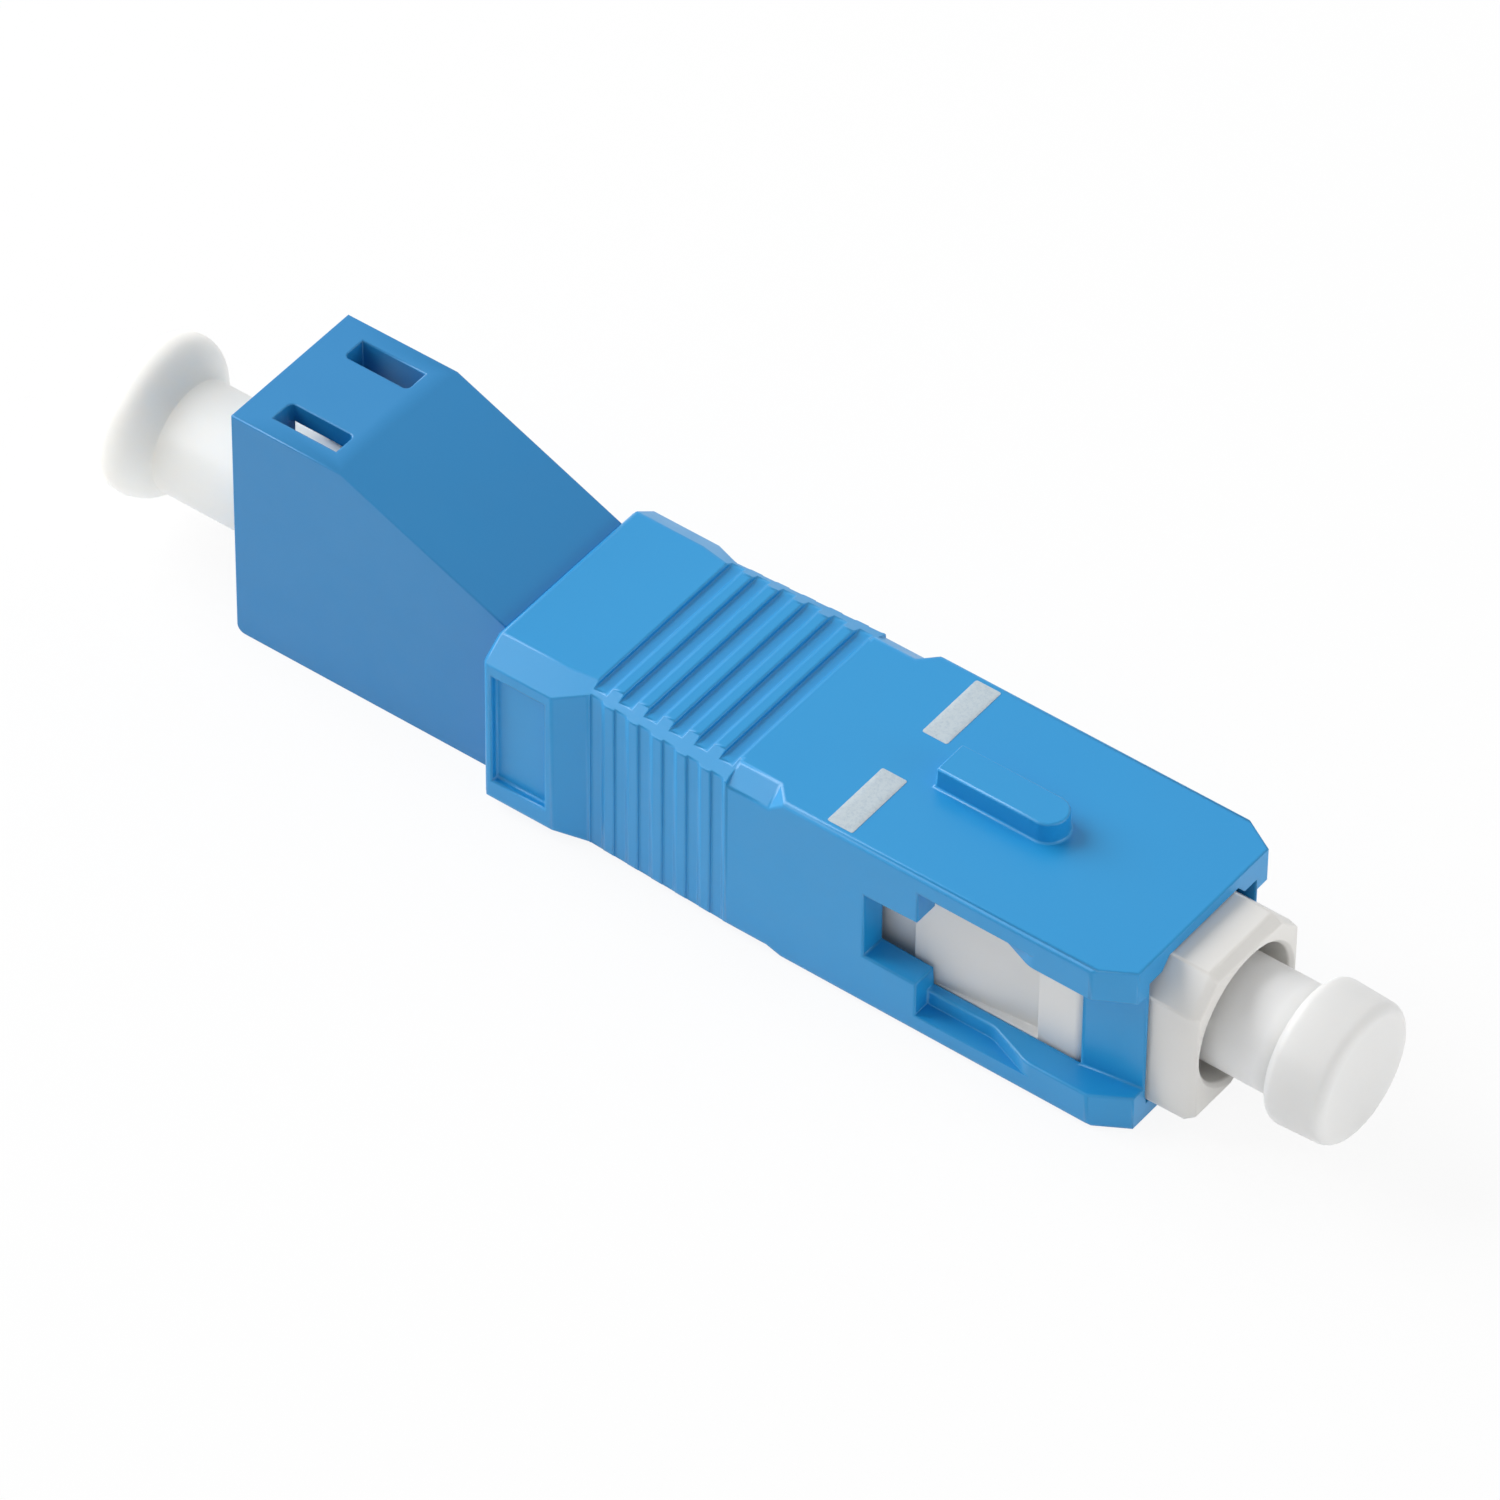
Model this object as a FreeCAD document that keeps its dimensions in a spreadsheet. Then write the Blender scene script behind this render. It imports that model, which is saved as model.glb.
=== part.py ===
import FreeCAD, Part

import math
import os
import re

import Sketcher
from FreeCAD import Vector

# Hybrid fibre adapter: an SC plug end and an LC port end on one optical axis, both capped.
# While modelling, +X runs from the LC port to the SC plug, +Z is up, X = 0 is the rear face of
# the sliding grip and Z = 0 is the optical axis. Lengths are in millimetres.
# Each piece is then placed so that the origin is the bottom centre of the whole adapter.

os.makedirs("parts", exist_ok=True)
doc = FreeCAD.newDocument("HybridFiberAdapter")

SIZES = {
    # Sliding grip, outside
    "grip_length": 26.71,
    "grip_width": 9.0,
    "grip_height": 7.4,
    "grip_corner": 0.12,
    "collar_length": 2.97,
    "collar_width": 9.4,
    "collar_bevel_height": 0.7,
    "collar_edge": 0.15,
    "collar_lower_bevel": 0.42,
    "top_flat_width": 7.52,
    "taper_end": 4.1,
    "waist_width": 8.2,
    "waist_flat_width": 7.16,
    "waist_bevel_height": 0.33,
    "waist_lower_bevel": 0.08,
    "flare_end": 10.24,
    "flare_bevel_height": 0.44,
    "band_bevel_height": 0.62,
    "band_lower_bevel": 0.3,
    "waist_end": 12.0,
    "ramp_length": 0.6,
    "front_bevel_length": 1.39,
    "front_bevel_width": 0.825,
    # Finger grooves and the plain recessed panels behind them
    "groove_first": 4.18,
    "groove_floor": 0.53,
    "groove_rise": 0.06,
    "groove_pitch": 1.074,
    "groove_count": 6,
    "groove_depth": 0.17,
    "side_groove_depth": 0.06,
    "panel_start": 0.4,
    "panel_length": 2.25,
    "panel_height": 4.95,
    "panel_depth": 0.28,
    # Key on top of the grip
    "key_setback": 5.66,
    "key_length": 4.88,
    "key_width": 1.5,
    "key_rise": 0.9,
    # Grip, inside
    "grip_rear_wall": 1.65,
    "grip_rear_roof": 0.95,
    "grip_side_wall": 1.1,
    "grip_roof": 0.4,
    "ledge_at": 10.6,
    "post_length": 2.36,
    # Side openings of the grip, with their cam blocks and front posts
    "slot_length": 2.2,
    "slot_height": 2.86,
    "window_length": 6.1,
    "window_height": 4.5,
    "cam_height": 0.65,
    "cam_sink": 0.7,
    "cam_floor_length": 2.75,
    "cam_ramp_length": 1.8,
    "cam_rounding": 1.2,
    "post_sink": 1.06,
    "post_slope": 0.34,
    # Plug frame
    "travel": 1.5,
    "slide_gap": 0.1,
    "nose_gap": 0.08,
    "post_gap": 0.05,
    "shoulder_length": 1.85,
    "shoulder_rounding": 0.38,
    "nose_length": 4.3,
    "nose_width": 5.8,
    "nose_top": 3.15,
    "nose_bottom": 2.95,
    "nose_bevel_width": 1.1,
    "nose_bevel_height": 1.25,
    "nose_edge_length": 0.4,
    "nose_edge_side": 0.12,
    "nose_edge_height": 0.3,
    "nose_bore_radius": 2.6,
    "nose_bore_chamfer": 0.15,
    "latch_recess_length": 4.45,
    "latch_recess_depth": 0.45,
    "latch_recess_height": 4.7,
    "latch_pad_length": 0.67,
    "rear_channel_depth": 0.3,
    # Web inside the plug frame that the flange rests against
    "nose_bore_depth": 8.8,
    "web_length": 1.2,
    "collar_gap": 0.08,
    # LC housing, outside
    "block_length": 12.01,
    "block_width": 6.48,
    "block_top": 6.44,
    "block_drop": 3.82,
    "block_flat_length": 4.81,
    "slope_end_height": 3.39,
    "block_corner": 0.35,
    "block_gap": 0.05,
    "shank_gap": 0.07,
    "spigot_length": 2.8,
    "spigot_wall": 0.55,
    "fit_gap": 0.05,
    # LC port
    "port_size": 4.65,
    "port_depth": 7.81,
    "latch_width": 2.55,
    "plug_clearance": 0.2,
    "port_roof": 0.78,
    "catch_setback": 1.26,
    "catch_length": 2.74,
    "catch_width": 0.98,
    "catch_spacing": 3.915,
    "catch_corner": 0.2,
    # Spring chamber and bores on the optical axis
    "spring_seat_at": 9.5,
    "spring_bore_radius": 2.15,
    "tail_bore_radius": 1.2,
    "sleeve_web": 0.6,
    "sleeve_web_radius": 0.72,
    # Sleeve holder and split sleeve
    "holder_tube_radius": 1.35,
    "holder_flange_radius": 1.9,
    "holder_flange_length": 1.2,
    "holder_reach": 5.2,
    "holder_lip": 0.2,
    "holder_lip_radius": 0.7,
    "sleeve_radius": 0.8,
    "sleeve_wall": 0.16,
    "sleeve_slot": 0.3,
    "end_gap": 0.05,
    # Ferrules, flange and fibre
    "core_travel": 1.0,
    "sc_ferrule_radius": 1.25,
    "sc_ferrule_reach": 1.9,
    "sc_ferrule_hold": 3.6,
    "sc_tip_chamfer": 0.35,
    "lc_ferrule_radius": 0.625,
    "lc_ferrule_reach": 1.8,
    "lc_ferrule_hold": 3.7,
    "lc_tip_chamfer": 0.15,
    "flange_radius": 2.05,
    "flange_length": 1.4,
    "flange_notch": 0.6,
    "flange_notch_depth": 0.35,
    "collar_radius": 1.7,
    "flange_collar_length": 0.8,
    "hub_radius": 1.5,
    "hub_length": 2.7,
    "tail_radius": 1.1,
    "fibre_radius": 0.0625,
    "fibre_hole_radius": 0.075,
    "cement_gap": 0.01,
    # Spring
    "wire_radius": 0.2,
    "spring_radius": 1.8,
    "spring_pitch": 1.5,
    # LC dust plug
    "plug_reach": 5.4,
    "plug_radius": 2.19,
    "plug_rise": 0.45,
    "plug_bore_radius": 1.42,
    "plug_bore_play": 0.4,
    "plug_tip_chamfer": 0.25,
    "plug_neck_at": 4.19,
    "plug_neck_radius": 1.8,
    "plug_flare_length": 1.3,
    "plug_head_radius": 3.11,
    "plug_head_rise": 0.76,
    "plug_head_thickness": 1.18,
    "plug_head_edge": 0.8,
    # SC dust cap
    "cap_tube_inside": 6.1,
    "cap_tube_outside": 2.4,
    "cap_tube_radius": 2.06,
    "cap_bore_radius": 1.3,
    "cap_bore_play": 0.8,
    "cap_tip_chamfer": 0.3,
    "cap_head_thickness": 2.4,
    "cap_head_radius": 2.74,
    "cap_head_taper": 0.1,
    "cap_head_edge": 0.42,
}

sheet = doc.addObject("Spreadsheet::Sheet", "Sizes")
for row, (alias, size) in enumerate(SIZES.items(), start=1):
    sheet.set("A%d" % row, alias.replace("_", " "))
    sheet.set("B%d" % row, str(size))
    sheet.setAlias("B%d" % row, alias)
doc.recompute()


def bound(formula):
    """A formula in size names, written as the sheet's cells."""
    return re.sub(r"[a-z]\w*", lambda name: "Sizes." + name.group(), formula)


# Places along the axis that several pieces share
POST = "(grip_length - post_length)"
WINDOW = "(%s - window_length)" % POST
FRAME_REAR = "(ledge_at + travel + slide_gap)"
SHOULDER_END = "(%s - post_gap)" % POST
LATCH_LEDGE = "(%s - shoulder_length)" % SHOULDER_END
FRAME_FRONT = "(%s + nose_length)" % SHOULDER_END
WEB = "(%s - nose_bore_depth - web_length)" % FRAME_FRONT
FRAME_HALF_WIDTH = "(grip_width / 2 - grip_side_wall - slide_gap)"
FRAME_HALF_HEIGHT = "(grip_height / 2 - grip_roof - slide_gap)"
SPIGOT_END = "(%s + spigot_length)" % FRAME_REAR
SPIGOT_HALF_WIDTH = "(spring_bore_radius + spigot_wall)"
PORT_FLOOR = "(port_depth - block_length)"
HOLDER_SEAT = "(%s + holder_flange_length)" % PORT_FLOOR
SLEEVE_WEB_END = "(%s + sleeve_web)" % HOLDER_SEAT
FLANGE_REAR = "(%s - flange_length)" % WEB
COLLAR_END = "(%s + flange_collar_length)" % WEB
SC_TIP = "(%s + sc_ferrule_reach)" % FRAME_FRONT
LC_TIP = "(%s - lc_ferrule_reach)" % PORT_FLOOR
SC_SEAT = "(%s - sc_ferrule_hold)" % COLLAR_END
TAIL_END = "(%s + core_travel + 4 * end_gap)" % SLEEVE_WEB_END
LC_SEAT = "(%s + lc_ferrule_hold)" % TAIL_END
HOLDER_MOUTH = "(%s - holder_reach)" % PORT_FLOOR
PLUG_TIP = "(plug_reach - block_length)"
PLUG_HEAD_REAR = "(-block_length - plug_neck_at - plug_flare_length - plug_head_thickness)"
CAP_HEAD = "(%s + cap_tube_outside)" % FRAME_FRONT
CAP_FRONT = "(%s + cap_head_thickness)" % CAP_HEAD


def body(name):
    """A piece of the adapter, placed from the optical axis to the adapter's bottom centre."""
    piece = doc.addObject("PartDesign::Body", name)
    piece.Label = name
    piece.setExpression(".Placement.Base.x", bound("-(%s + %s) / 2" % (CAP_FRONT, PLUG_HEAD_REAR)))
    piece.setExpression(".Placement.Base.z", bound("block_drop"))
    return piece


def sketch(piece, name, role, offset=None, rise=None):
    """A sketch on one of the piece's origin planes, moved along and across the plane's normal."""
    drawn = piece.newObject("Sketcher::SketchObject", name)
    planes = [plane for plane in piece.Origin.OriginFeatures if plane.Role == role]
    drawn.AttachmentSupport = [(planes[0], "")]
    drawn.MapMode = "FlatFace"
    if offset:
        drawn.setExpression(".AttachmentOffset.Base.z", bound(offset))
    if rise:
        drawn.setExpression(".AttachmentOffset.Base.y", bound(rise))
    return drawn


def locate(drawn, geometry, position, x, y):
    """Tie a point of a sketch to its two coordinates."""
    for direction, across, formula in (("DistanceX", -2, x), ("DistanceY", -1, y)):
        if formula == "0":
            drawn.addConstraint(Sketcher.Constraint("PointOnObject", geometry, position, across))
        else:
            tie = Sketcher.Constraint(direction, -1, 1, geometry, position, 1.0)
            drawn.setExpression("Constraints[%d]" % drawn.addConstraint(tie), bound(formula))


def polygon(drawn, corners):
    """A closed outline through corners given as pairs of formulas."""
    count = len(corners)
    turn = [2 * math.pi * corner / count for corner in range(count + 1)]
    ring = [Vector(math.cos(angle), -math.sin(angle), 0) for angle in turn]
    lines = [drawn.addGeometry(Part.LineSegment(*ring[k : k + 2]), False) for k in range(count)]
    for k, (x, y) in enumerate(corners):
        drawn.addConstraint(Sketcher.Constraint("Coincident", lines[k - 1], 2, lines[k], 1))
        locate(drawn, lines[k], 1, x, y)


def rectangle(drawn, left, right, low, high):
    polygon(drawn, [(left, low), (left, high), (right, high), (right, low)])


def circle(drawn, radius, x="0", y="0"):
    ring = drawn.addGeometry(Part.Circle(Vector(0, 0, 0), Vector(0, 0, 1), 1.0), False)
    locate(drawn, ring, 3, x, y)
    size = drawn.addConstraint(Sketcher.Constraint("Radius", ring, 1.0))
    drawn.setExpression("Constraints[%d]" % size, bound(radius))


def pad(piece, name, drawn, length, symmetric=False):
    """Grow the sketch along its normal, or to both sides of its plane."""
    grown = piece.newObject("PartDesign::Pad", name)
    grown.Profile = drawn
    grown.SideType = "Symmetric" if symmetric else "One side"
    grown.setExpression("Length", bound(length))
    return grown


def cut(piece, name, drawn, length, symmetric=False, forward=False):
    """Cut the sketch against its normal, along it, or to both sides of its plane."""
    before = volume(piece)
    hollow = piece.newObject("PartDesign::Pocket", name)
    hollow.Profile = drawn
    hollow.SideType = "Symmetric" if symmetric else "One side"
    hollow.Reversed = forward
    hollow.setExpression("Length", bound(length))
    check_cut(piece, name, before)
    return hollow


def volume(piece):
    doc.recompute()
    return piece.Shape.Volume


def check_cut(piece, name, before):
    if not volume(piece) < before:
        raise RuntimeError("%s of %s cuts nothing" % (name, piece.Label))


def loft(piece, name, first, last):
    """Straight walls from one sketch to another."""
    blend = piece.newObject("PartDesign::AdditiveLoft", name)
    blend.Profile = first
    blend.Sections = [last]
    blend.Ruled = True
    return blend


def turned(piece, name, drawn):
    """A full turn of the sketch about its own horizontal axis."""
    round_form = piece.newObject("PartDesign::Revolution", name)
    round_form.Profile = drawn
    round_form.ReferenceAxis = (drawn, ["H_Axis"])
    round_form.Angle = 360.0
    return round_form


def bored(piece, name, drawn):
    """A full-turn cut of the sketch about its own horizontal axis."""
    before = volume(piece)
    hollow = piece.newObject("PartDesign::Groove", name)
    hollow.Profile = drawn
    hollow.ReferenceAxis = (drawn, ["H_Axis"])
    hollow.Angle = 360.0
    check_cut(piece, name, before)
    return hollow


def dress(piece, kind, name, size, chosen, prop):
    """Round or chamfer the edges of the piece's last feature that are chosen."""
    doc.recompute()
    base = piece.Tip
    edges = enumerate(base.Shape.Edges, start=1)
    names = ["Edge%d" % number for number, edge in edges if chosen(edge)]
    if not names:
        raise RuntimeError("%s of %s finds no edge" % (name, piece.Label))
    dressed = piece.newObject("PartDesign::" + kind, name)
    dressed.Base = (base, names)
    dressed.setExpression(prop, bound(size))
    return dressed


def fillet(piece, name, radius, chosen):
    return dress(piece, "Fillet", name, radius, chosen, "Radius")


def chamfer(piece, name, size, chosen):
    return dress(piece, "Chamfer", name, size, chosen, "Size")


def near(a, b):
    return abs(a - b) < 1e-4


def upright(edge):
    """True for a straight edge along Z."""
    box = edge.BoundBox
    return box.XLength < 1e-4 and box.YLength < 1e-4 and box.ZLength > 1e-3


gauge = doc.addObject("Part::Vertex", "Gauge")


def measure(formula):
    """The length a formula in size names comes to, read off a point set out along X."""
    gauge.setExpression("X", bound(formula))
    gauge.recompute()
    return float(gauge.X)


# Sliding grip
def beveled_section(piece, name, at, half_width, flat_width, bevel_height, lower):
    """An eight-cornered section: wide bevels at the top corners, small ones at the bottom."""
    top = "(grip_height / 2)"
    drawn = sketch(piece, name, "YZ_Plane", at)
    right = [
        ("(%s - %s)" % (half_width, lower), "-" + top),
        (half_width, "-%s + %s" % (top, lower)),
        (half_width, "%s - %s" % (top, bevel_height)),
        ("(%s / 2)" % flat_width, top),
    ]
    polygon(drawn, right + [("-" + y, z) for y, z in right[::-1]])
    return drawn


def build_grip():
    grip = body("sc_outer_housing")
    top = "(grip_height / 2)"
    side = "(grip_width / 2)"
    collar = "(collar_width / 2)"
    waist = "(waist_width / 2)"

    # Collar, the taper down to the waist, the waist's flare and the band in front of it
    collar_form = (collar, "top_flat_width", "collar_bevel_height", "collar_lower_bevel")
    waist_form = (waist, "waist_flat_width", "waist_bevel_height", "waist_lower_bevel")
    flare_form = (side, "waist_flat_width", "flare_bevel_height", "band_lower_bevel")
    band_form = (side, "top_flat_width", "band_bevel_height", "band_lower_bevel")
    rear = beveled_section(grip, "CollarSection", None, *collar_form)
    pad(grip, "Collar", rear, "collar_length")
    chamfer(grip, "CollarEdge", "collar_edge", lambda edge: near(edge.BoundBox.XMax, 0))
    wide = beveled_section(grip, "TaperStart", "collar_length", *collar_form)
    slim = beveled_section(grip, "TaperEnd", "taper_end", *waist_form)
    loft(grip, "Taper", wide, slim)
    narrow = beveled_section(grip, "FlareStart", "taper_end", *waist_form)
    broad = beveled_section(grip, "FlareEnd", "flare_end", *flare_form)
    loft(grip, "Flare", narrow, broad)
    band = beveled_section(grip, "BandSection", "flare_end", *band_form)
    pad(grip, "Band", band, "waist_end - flare_end")
    low = beveled_section(grip, "RampStart", "waist_end", *band_form)
    ends = []
    for name in ("RampEnd", "FrontSection"):
        full = sketch(grip, name, "YZ_Plane", "waist_end + ramp_length")
        corner = [
            ("%s - grip_corner" % side, "-" + top),
            (side, "-%s + grip_corner" % top),
            (side, "%s - grip_corner" % top),
            ("%s - grip_corner" % side, top),
        ]
        polygon(full, corner + [("-(%s)" % y, z) for y, z in corner[::-1]])
        ends.append(full)
    loft(grip, "Ramp", low, ends[0])
    pad(grip, "Front", ends[1], "grip_length - waist_end - ramp_length")

    # Key: a bar with a half-round front end
    key_front = "(grip_length - key_setback)"
    key_tip = "(%s - key_width / 2)" % key_front
    bar = sketch(grip, "KeyBarOutline", "XY_Plane", top + " - grip_roof / 2")
    rectangle(bar, key_front + " - key_length", key_tip, "-key_width / 2", "key_width / 2")
    pad(grip, "KeyBar", bar, "key_rise + grip_roof / 2")
    tip = sketch(grip, "KeyTipOutline", "XY_Plane", top + " - grip_roof / 2")
    circle(tip, "key_width / 2", key_tip)
    pad(grip, "KeyTip", tip, "key_rise + grip_roof / 2")

    # Hollow for the plug frame, in three widths from rear to front
    shank_hole = sketch(grip, "RearHollowOutline", "YZ_Plane")
    rear_half = "(collar_width / 2 - grip_rear_wall)"
    rear_high = "(grip_height / 2 - grip_rear_roof)"
    rectangle(shank_hole, "-" + rear_half, rear_half, "-" + rear_high, rear_high)
    cut(grip, "RearHollow", shank_hole, "grip_length", forward=True)
    frame_hole = sketch(grip, "FrameHollowOutline", "YZ_Plane", "ledge_at")
    wide_half = "(grip_width / 2 - grip_side_wall)"
    wide_high = "(grip_height / 2 - grip_roof)"
    rectangle(frame_hole, "-" + wide_half, wide_half, "-" + wide_high, wide_high)
    cut(grip, "FrameHollow", frame_hole, POST + " - ledge_at", forward=True)
    nose_hole = sketch(grip, "NoseOpeningOutline", "YZ_Plane", POST + " - post_gap / 2")
    lean = "nose_gap * nose_bevel_width / nose_bevel_height"
    right = [
        ("nose_width / 2 + nose_gap", "-nose_bottom - nose_gap"),
        ("nose_width / 2 + nose_gap", "nose_top + nose_gap - nose_bevel_height"),
        ("nose_width / 2 + nose_gap + %s - nose_bevel_width" % lean, "nose_top + nose_gap"),
    ]
    polygon(nose_hole, right + [("-(%s)" % y, z) for y, z in right[::-1]])
    cut(grip, "NoseOpening", nose_hole, "post_length + 1", forward=True)

    # Bevels at the front corners, seen from above
    bevels = sketch(grip, "FrontBevelOutline", "XY_Plane")
    for sign in ("", "-"):
        polygon(
            bevels,
            [
                ("grip_length - front_bevel_length", sign + side),
                ("grip_length", "%s(%s - front_bevel_width)" % (sign, side)),
                ("grip_length + 1", "%s(%s - front_bevel_width)" % (sign, side)),
                ("grip_length + 1", "%s(%s + 1)" % (sign, side)),
                ("grip_length - front_bevel_length", "%s(%s + 1)" % (sign, side)),
            ],
        )
    cut(grip, "FrontBevels", bevels, "2 * grip_height", symmetric=True)

    # Pocket with an S-shaped floor, left as the cam blocks above and below the window
    out = "(%s + 1)" % side
    cam_foot = WINDOW + " + cam_floor_length"
    cam_top = cam_foot + " + cam_ramp_length"
    pockets = sketch(grip, "CamPocketOutline", "XY_Plane")
    for sign in ("", "-"):
        polygon(
            pockets,
            [
                (WINDOW, sign + out),
                (WINDOW, "%s(%s - cam_sink)" % (sign, side)),
                (cam_foot, "%s(%s - cam_sink)" % (sign, side)),
                (cam_top, sign + side),
                (cam_top, sign + out),
            ],
        )
    cut(grip, "CamPockets", pockets, "window_height + 2 * cam_height", symmetric=True)
    ramp_lines = (
        (measure(cam_foot), measure(side + " - cam_sink")),
        (measure(cam_top), measure(side)),
    )

    def on_ramp(edge):
        x, y = edge.BoundBox.XMin, abs(edge.BoundBox.YMin)
        return upright(edge) and any(near(x, at) and near(y, out) for at, out in ramp_lines)

    fillet(grip, "CamRounding", "cam_rounding", on_ramp)

    # Window between the cam blocks, open to the frame, and the thin front post
    inside = "(%s - grip_side_wall - slide_gap)" % side
    windows = sketch(grip, "WindowOutline", "XY_Plane")
    for sign in ("", "-"):
        polygon(
            windows,
            [
                (WINDOW, sign + out),
                (WINDOW, sign + inside),
                (POST, sign + inside),
                (POST, "%s(%s - post_sink)" % (sign, side)),
                ("grip_length", "%s(%s - post_sink - post_slope)" % (sign, side)),
                ("grip_length + 1", "%s(%s - post_sink - post_slope)" % (sign, side)),
                ("grip_length + 1", sign + out),
            ],
        )
    cut(grip, "Windows", windows, "window_height", symmetric=True)
    slots = sketch(grip, "RearSlotOutline", "XY_Plane")
    for sign in ("", "-"):
        edges = (sign + inside, sign + out)
        rectangle(slots, WINDOW + " - slot_length", WINDOW + " + slide_gap", *edges)
    cut(grip, "RearSlots", slots, "slot_height", symmetric=True)

    # Plain recessed panels on both sides of the collar
    panels = sketch(grip, "PanelOutline", "XY_Plane")
    for sign in ("", "-"):
        edges = ("%s(%s - panel_depth)" % (sign, collar), "%s(%s + 1)" % (sign, collar))
        rectangle(panels, "panel_start", "panel_start + panel_length", *edges)
    cut(grip, "Panels", panels, "panel_height", symmetric=True)

    # Finger grooves, steep behind and with a short rise in front: rows across the top and, short
    # of the edges, across the bottom, and single ones that step outwards with the flaring sides
    def groove(rear, surface, depth, sign):
        """The corners of one groove from its floor out past the surface."""
        end = "(%s + groove_floor)" % rear
        front = "(%s + groove_floor + groove_rise)" % rear
        corners = [
            (rear, "%s - %s" % (surface(rear), depth)),
            (end, "%s - %s" % (surface(end), depth)),
            (front, surface(front)),
            (front, surface(front) + " + 1"),
            (rear, surface(rear) + " + 1"),
        ]
        return [(x, "%s(%s)" % (sign, out)) for x, out in corners]

    def level(at):
        return top

    def flare(at):
        """Half the width of the flaring waist at a place along the axis."""
        share = "(%s - taper_end) / (flare_end - taper_end)" % at
        return "(%s + (%s - %s) * %s)" % (waist, side, waist, share)

    for place, sign, length in (("Top", "", "2 * collar_width"), ("Bottom", "-", "waist_flat_width")):
        across = sketch(grip, place + "GrooveOutline", "XZ_Plane")
        polygon(across, groove("groove_first", level, "groove_depth", sign))
        first = cut(grip, place + "Groove", across, length, symmetric=True)
        before = volume(grip)
        row = grip.newObject("PartDesign::LinearPattern", place + "GrooveRow")
        row.Originals = [first]
        row.Direction = (across, ["H_Axis"])
        row.Mode = "Spacing"
        row.setExpression("Offset", bound("groove_pitch"))
        row.setExpression("Occurrences", bound("groove_count"))
        grip.Tip = row
        check_cut(grip, row.Name, before)
    sides = sketch(grip, "SideGrooveOutline", "XY_Plane")
    for number in range(SIZES["groove_count"]):
        rear = "(groove_first + %d * groove_pitch)" % number
        for sign in ("", "-"):
            polygon(sides, groove(rear, flare, "side_groove_depth", sign))
    cut(grip, "SideGrooves", sides, "2 * grip_height", symmetric=True)
    return grip


# Plug frame, the fixed inner plug that the grip slides on
def build_frame():
    frame = body("sc_plug_frame")
    half, high = FRAME_HALF_WIDTH, FRAME_HALF_HEIGHT
    main = sketch(frame, "MainSection", "YZ_Plane", FRAME_REAR)
    rectangle(main, "-" + half, half, "-" + high, high)
    pad(frame, "Main", main, "%s - %s" % (SHOULDER_END, FRAME_REAR))
    front = measure(SHOULDER_END)
    fillet(
        frame,
        "ShoulderRounding",
        "shoulder_rounding",
        lambda edge: upright(edge) and near(edge.BoundBox.XMin, front),
    )

    def nose(name, at, side_in="0", height_in="0"):
        """The nose's section, with both upper corners cut away."""
        drawn = sketch(frame, name, "YZ_Plane", at)
        right = [
            ("nose_width / 2 - %s" % side_in, "-nose_bottom + %s" % height_in),
            ("nose_width / 2 - %s" % side_in, "nose_top - nose_bevel_height"),
            ("nose_width / 2 - nose_bevel_width", "nose_top - %s" % height_in),
        ]
        polygon(drawn, right + [("-(%s)" % y, z) for y, z in right[::-1]])
        return drawn

    bevel_start = FRAME_FRONT + " - nose_edge_length"
    straight = "nose_length - nose_edge_length"
    pad(frame, "Nose", nose("NoseSection", SHOULDER_END), straight)
    loft(
        frame,
        "NoseEdge",
        nose("NoseEdgeStart", bevel_start),
        nose("NoseEdgeEnd", FRAME_FRONT, "nose_edge_side", "nose_edge_height"),
    )

    # Latch recesses with sloping floors, and the shallow channels behind them
    out = "(%s + 1)" % half
    recess_start = "(%s - latch_recess_length)" % LATCH_LEDGE
    recesses = sketch(frame, "LatchRecessOutline", "XY_Plane")
    channels = sketch(frame, "RearChannelOutline", "XY_Plane")
    for sign in ("", "-"):
        polygon(
            recesses,
            [
                (recess_start, sign + half),
                (LATCH_LEDGE, "%s(%s - latch_recess_depth)" % (sign, half)),
                (LATCH_LEDGE, sign + out),
                (recess_start, sign + out),
            ],
        )
        edges = ("%s(%s - rear_channel_depth)" % (sign, half), sign + out)
        rectangle(channels, FRAME_REAR + " - 1", recess_start + " - latch_pad_length", *edges)
    cut(frame, "LatchRecesses", recesses, "latch_recess_height", symmetric=True)
    cut(frame, "RearChannels", channels, "latch_recess_height", symmetric=True)

    # Socket for the spigot, spring chamber, web and nose bore
    socket = sketch(frame, "SocketOutline", "YZ_Plane", FRAME_REAR)
    socket_half = "(%s + fit_gap)" % SPIGOT_HALF_WIDTH
    rectangle(socket, "-" + socket_half, socket_half, "-" + socket_half, socket_half)
    cut(frame, "Socket", socket, "spigot_length + fit_gap", forward=True)
    web_hole = "collar_radius + collar_gap"
    chamfer_start = FRAME_FRONT + " - nose_bore_chamfer"
    bore = sketch(frame, "BoreProfile", "XZ_Plane")
    polygon(
        bore,
        [
            (FRAME_REAR, "0"),
            (FRAME_REAR, "spring_bore_radius"),
            (WEB, "spring_bore_radius"),
            (WEB, web_hole),
            (WEB + " + web_length", web_hole),
            (WEB + " + web_length", "nose_bore_radius"),
            (chamfer_start, "nose_bore_radius"),
            (FRAME_FRONT, "nose_bore_radius + nose_bore_chamfer"),
            (FRAME_FRONT + " + 1", "nose_bore_radius + nose_bore_chamfer"),
            (FRAME_FRONT + " + 1", "0"),
        ],
    )
    bored(frame, "Bore", bore)
    return frame


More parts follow.
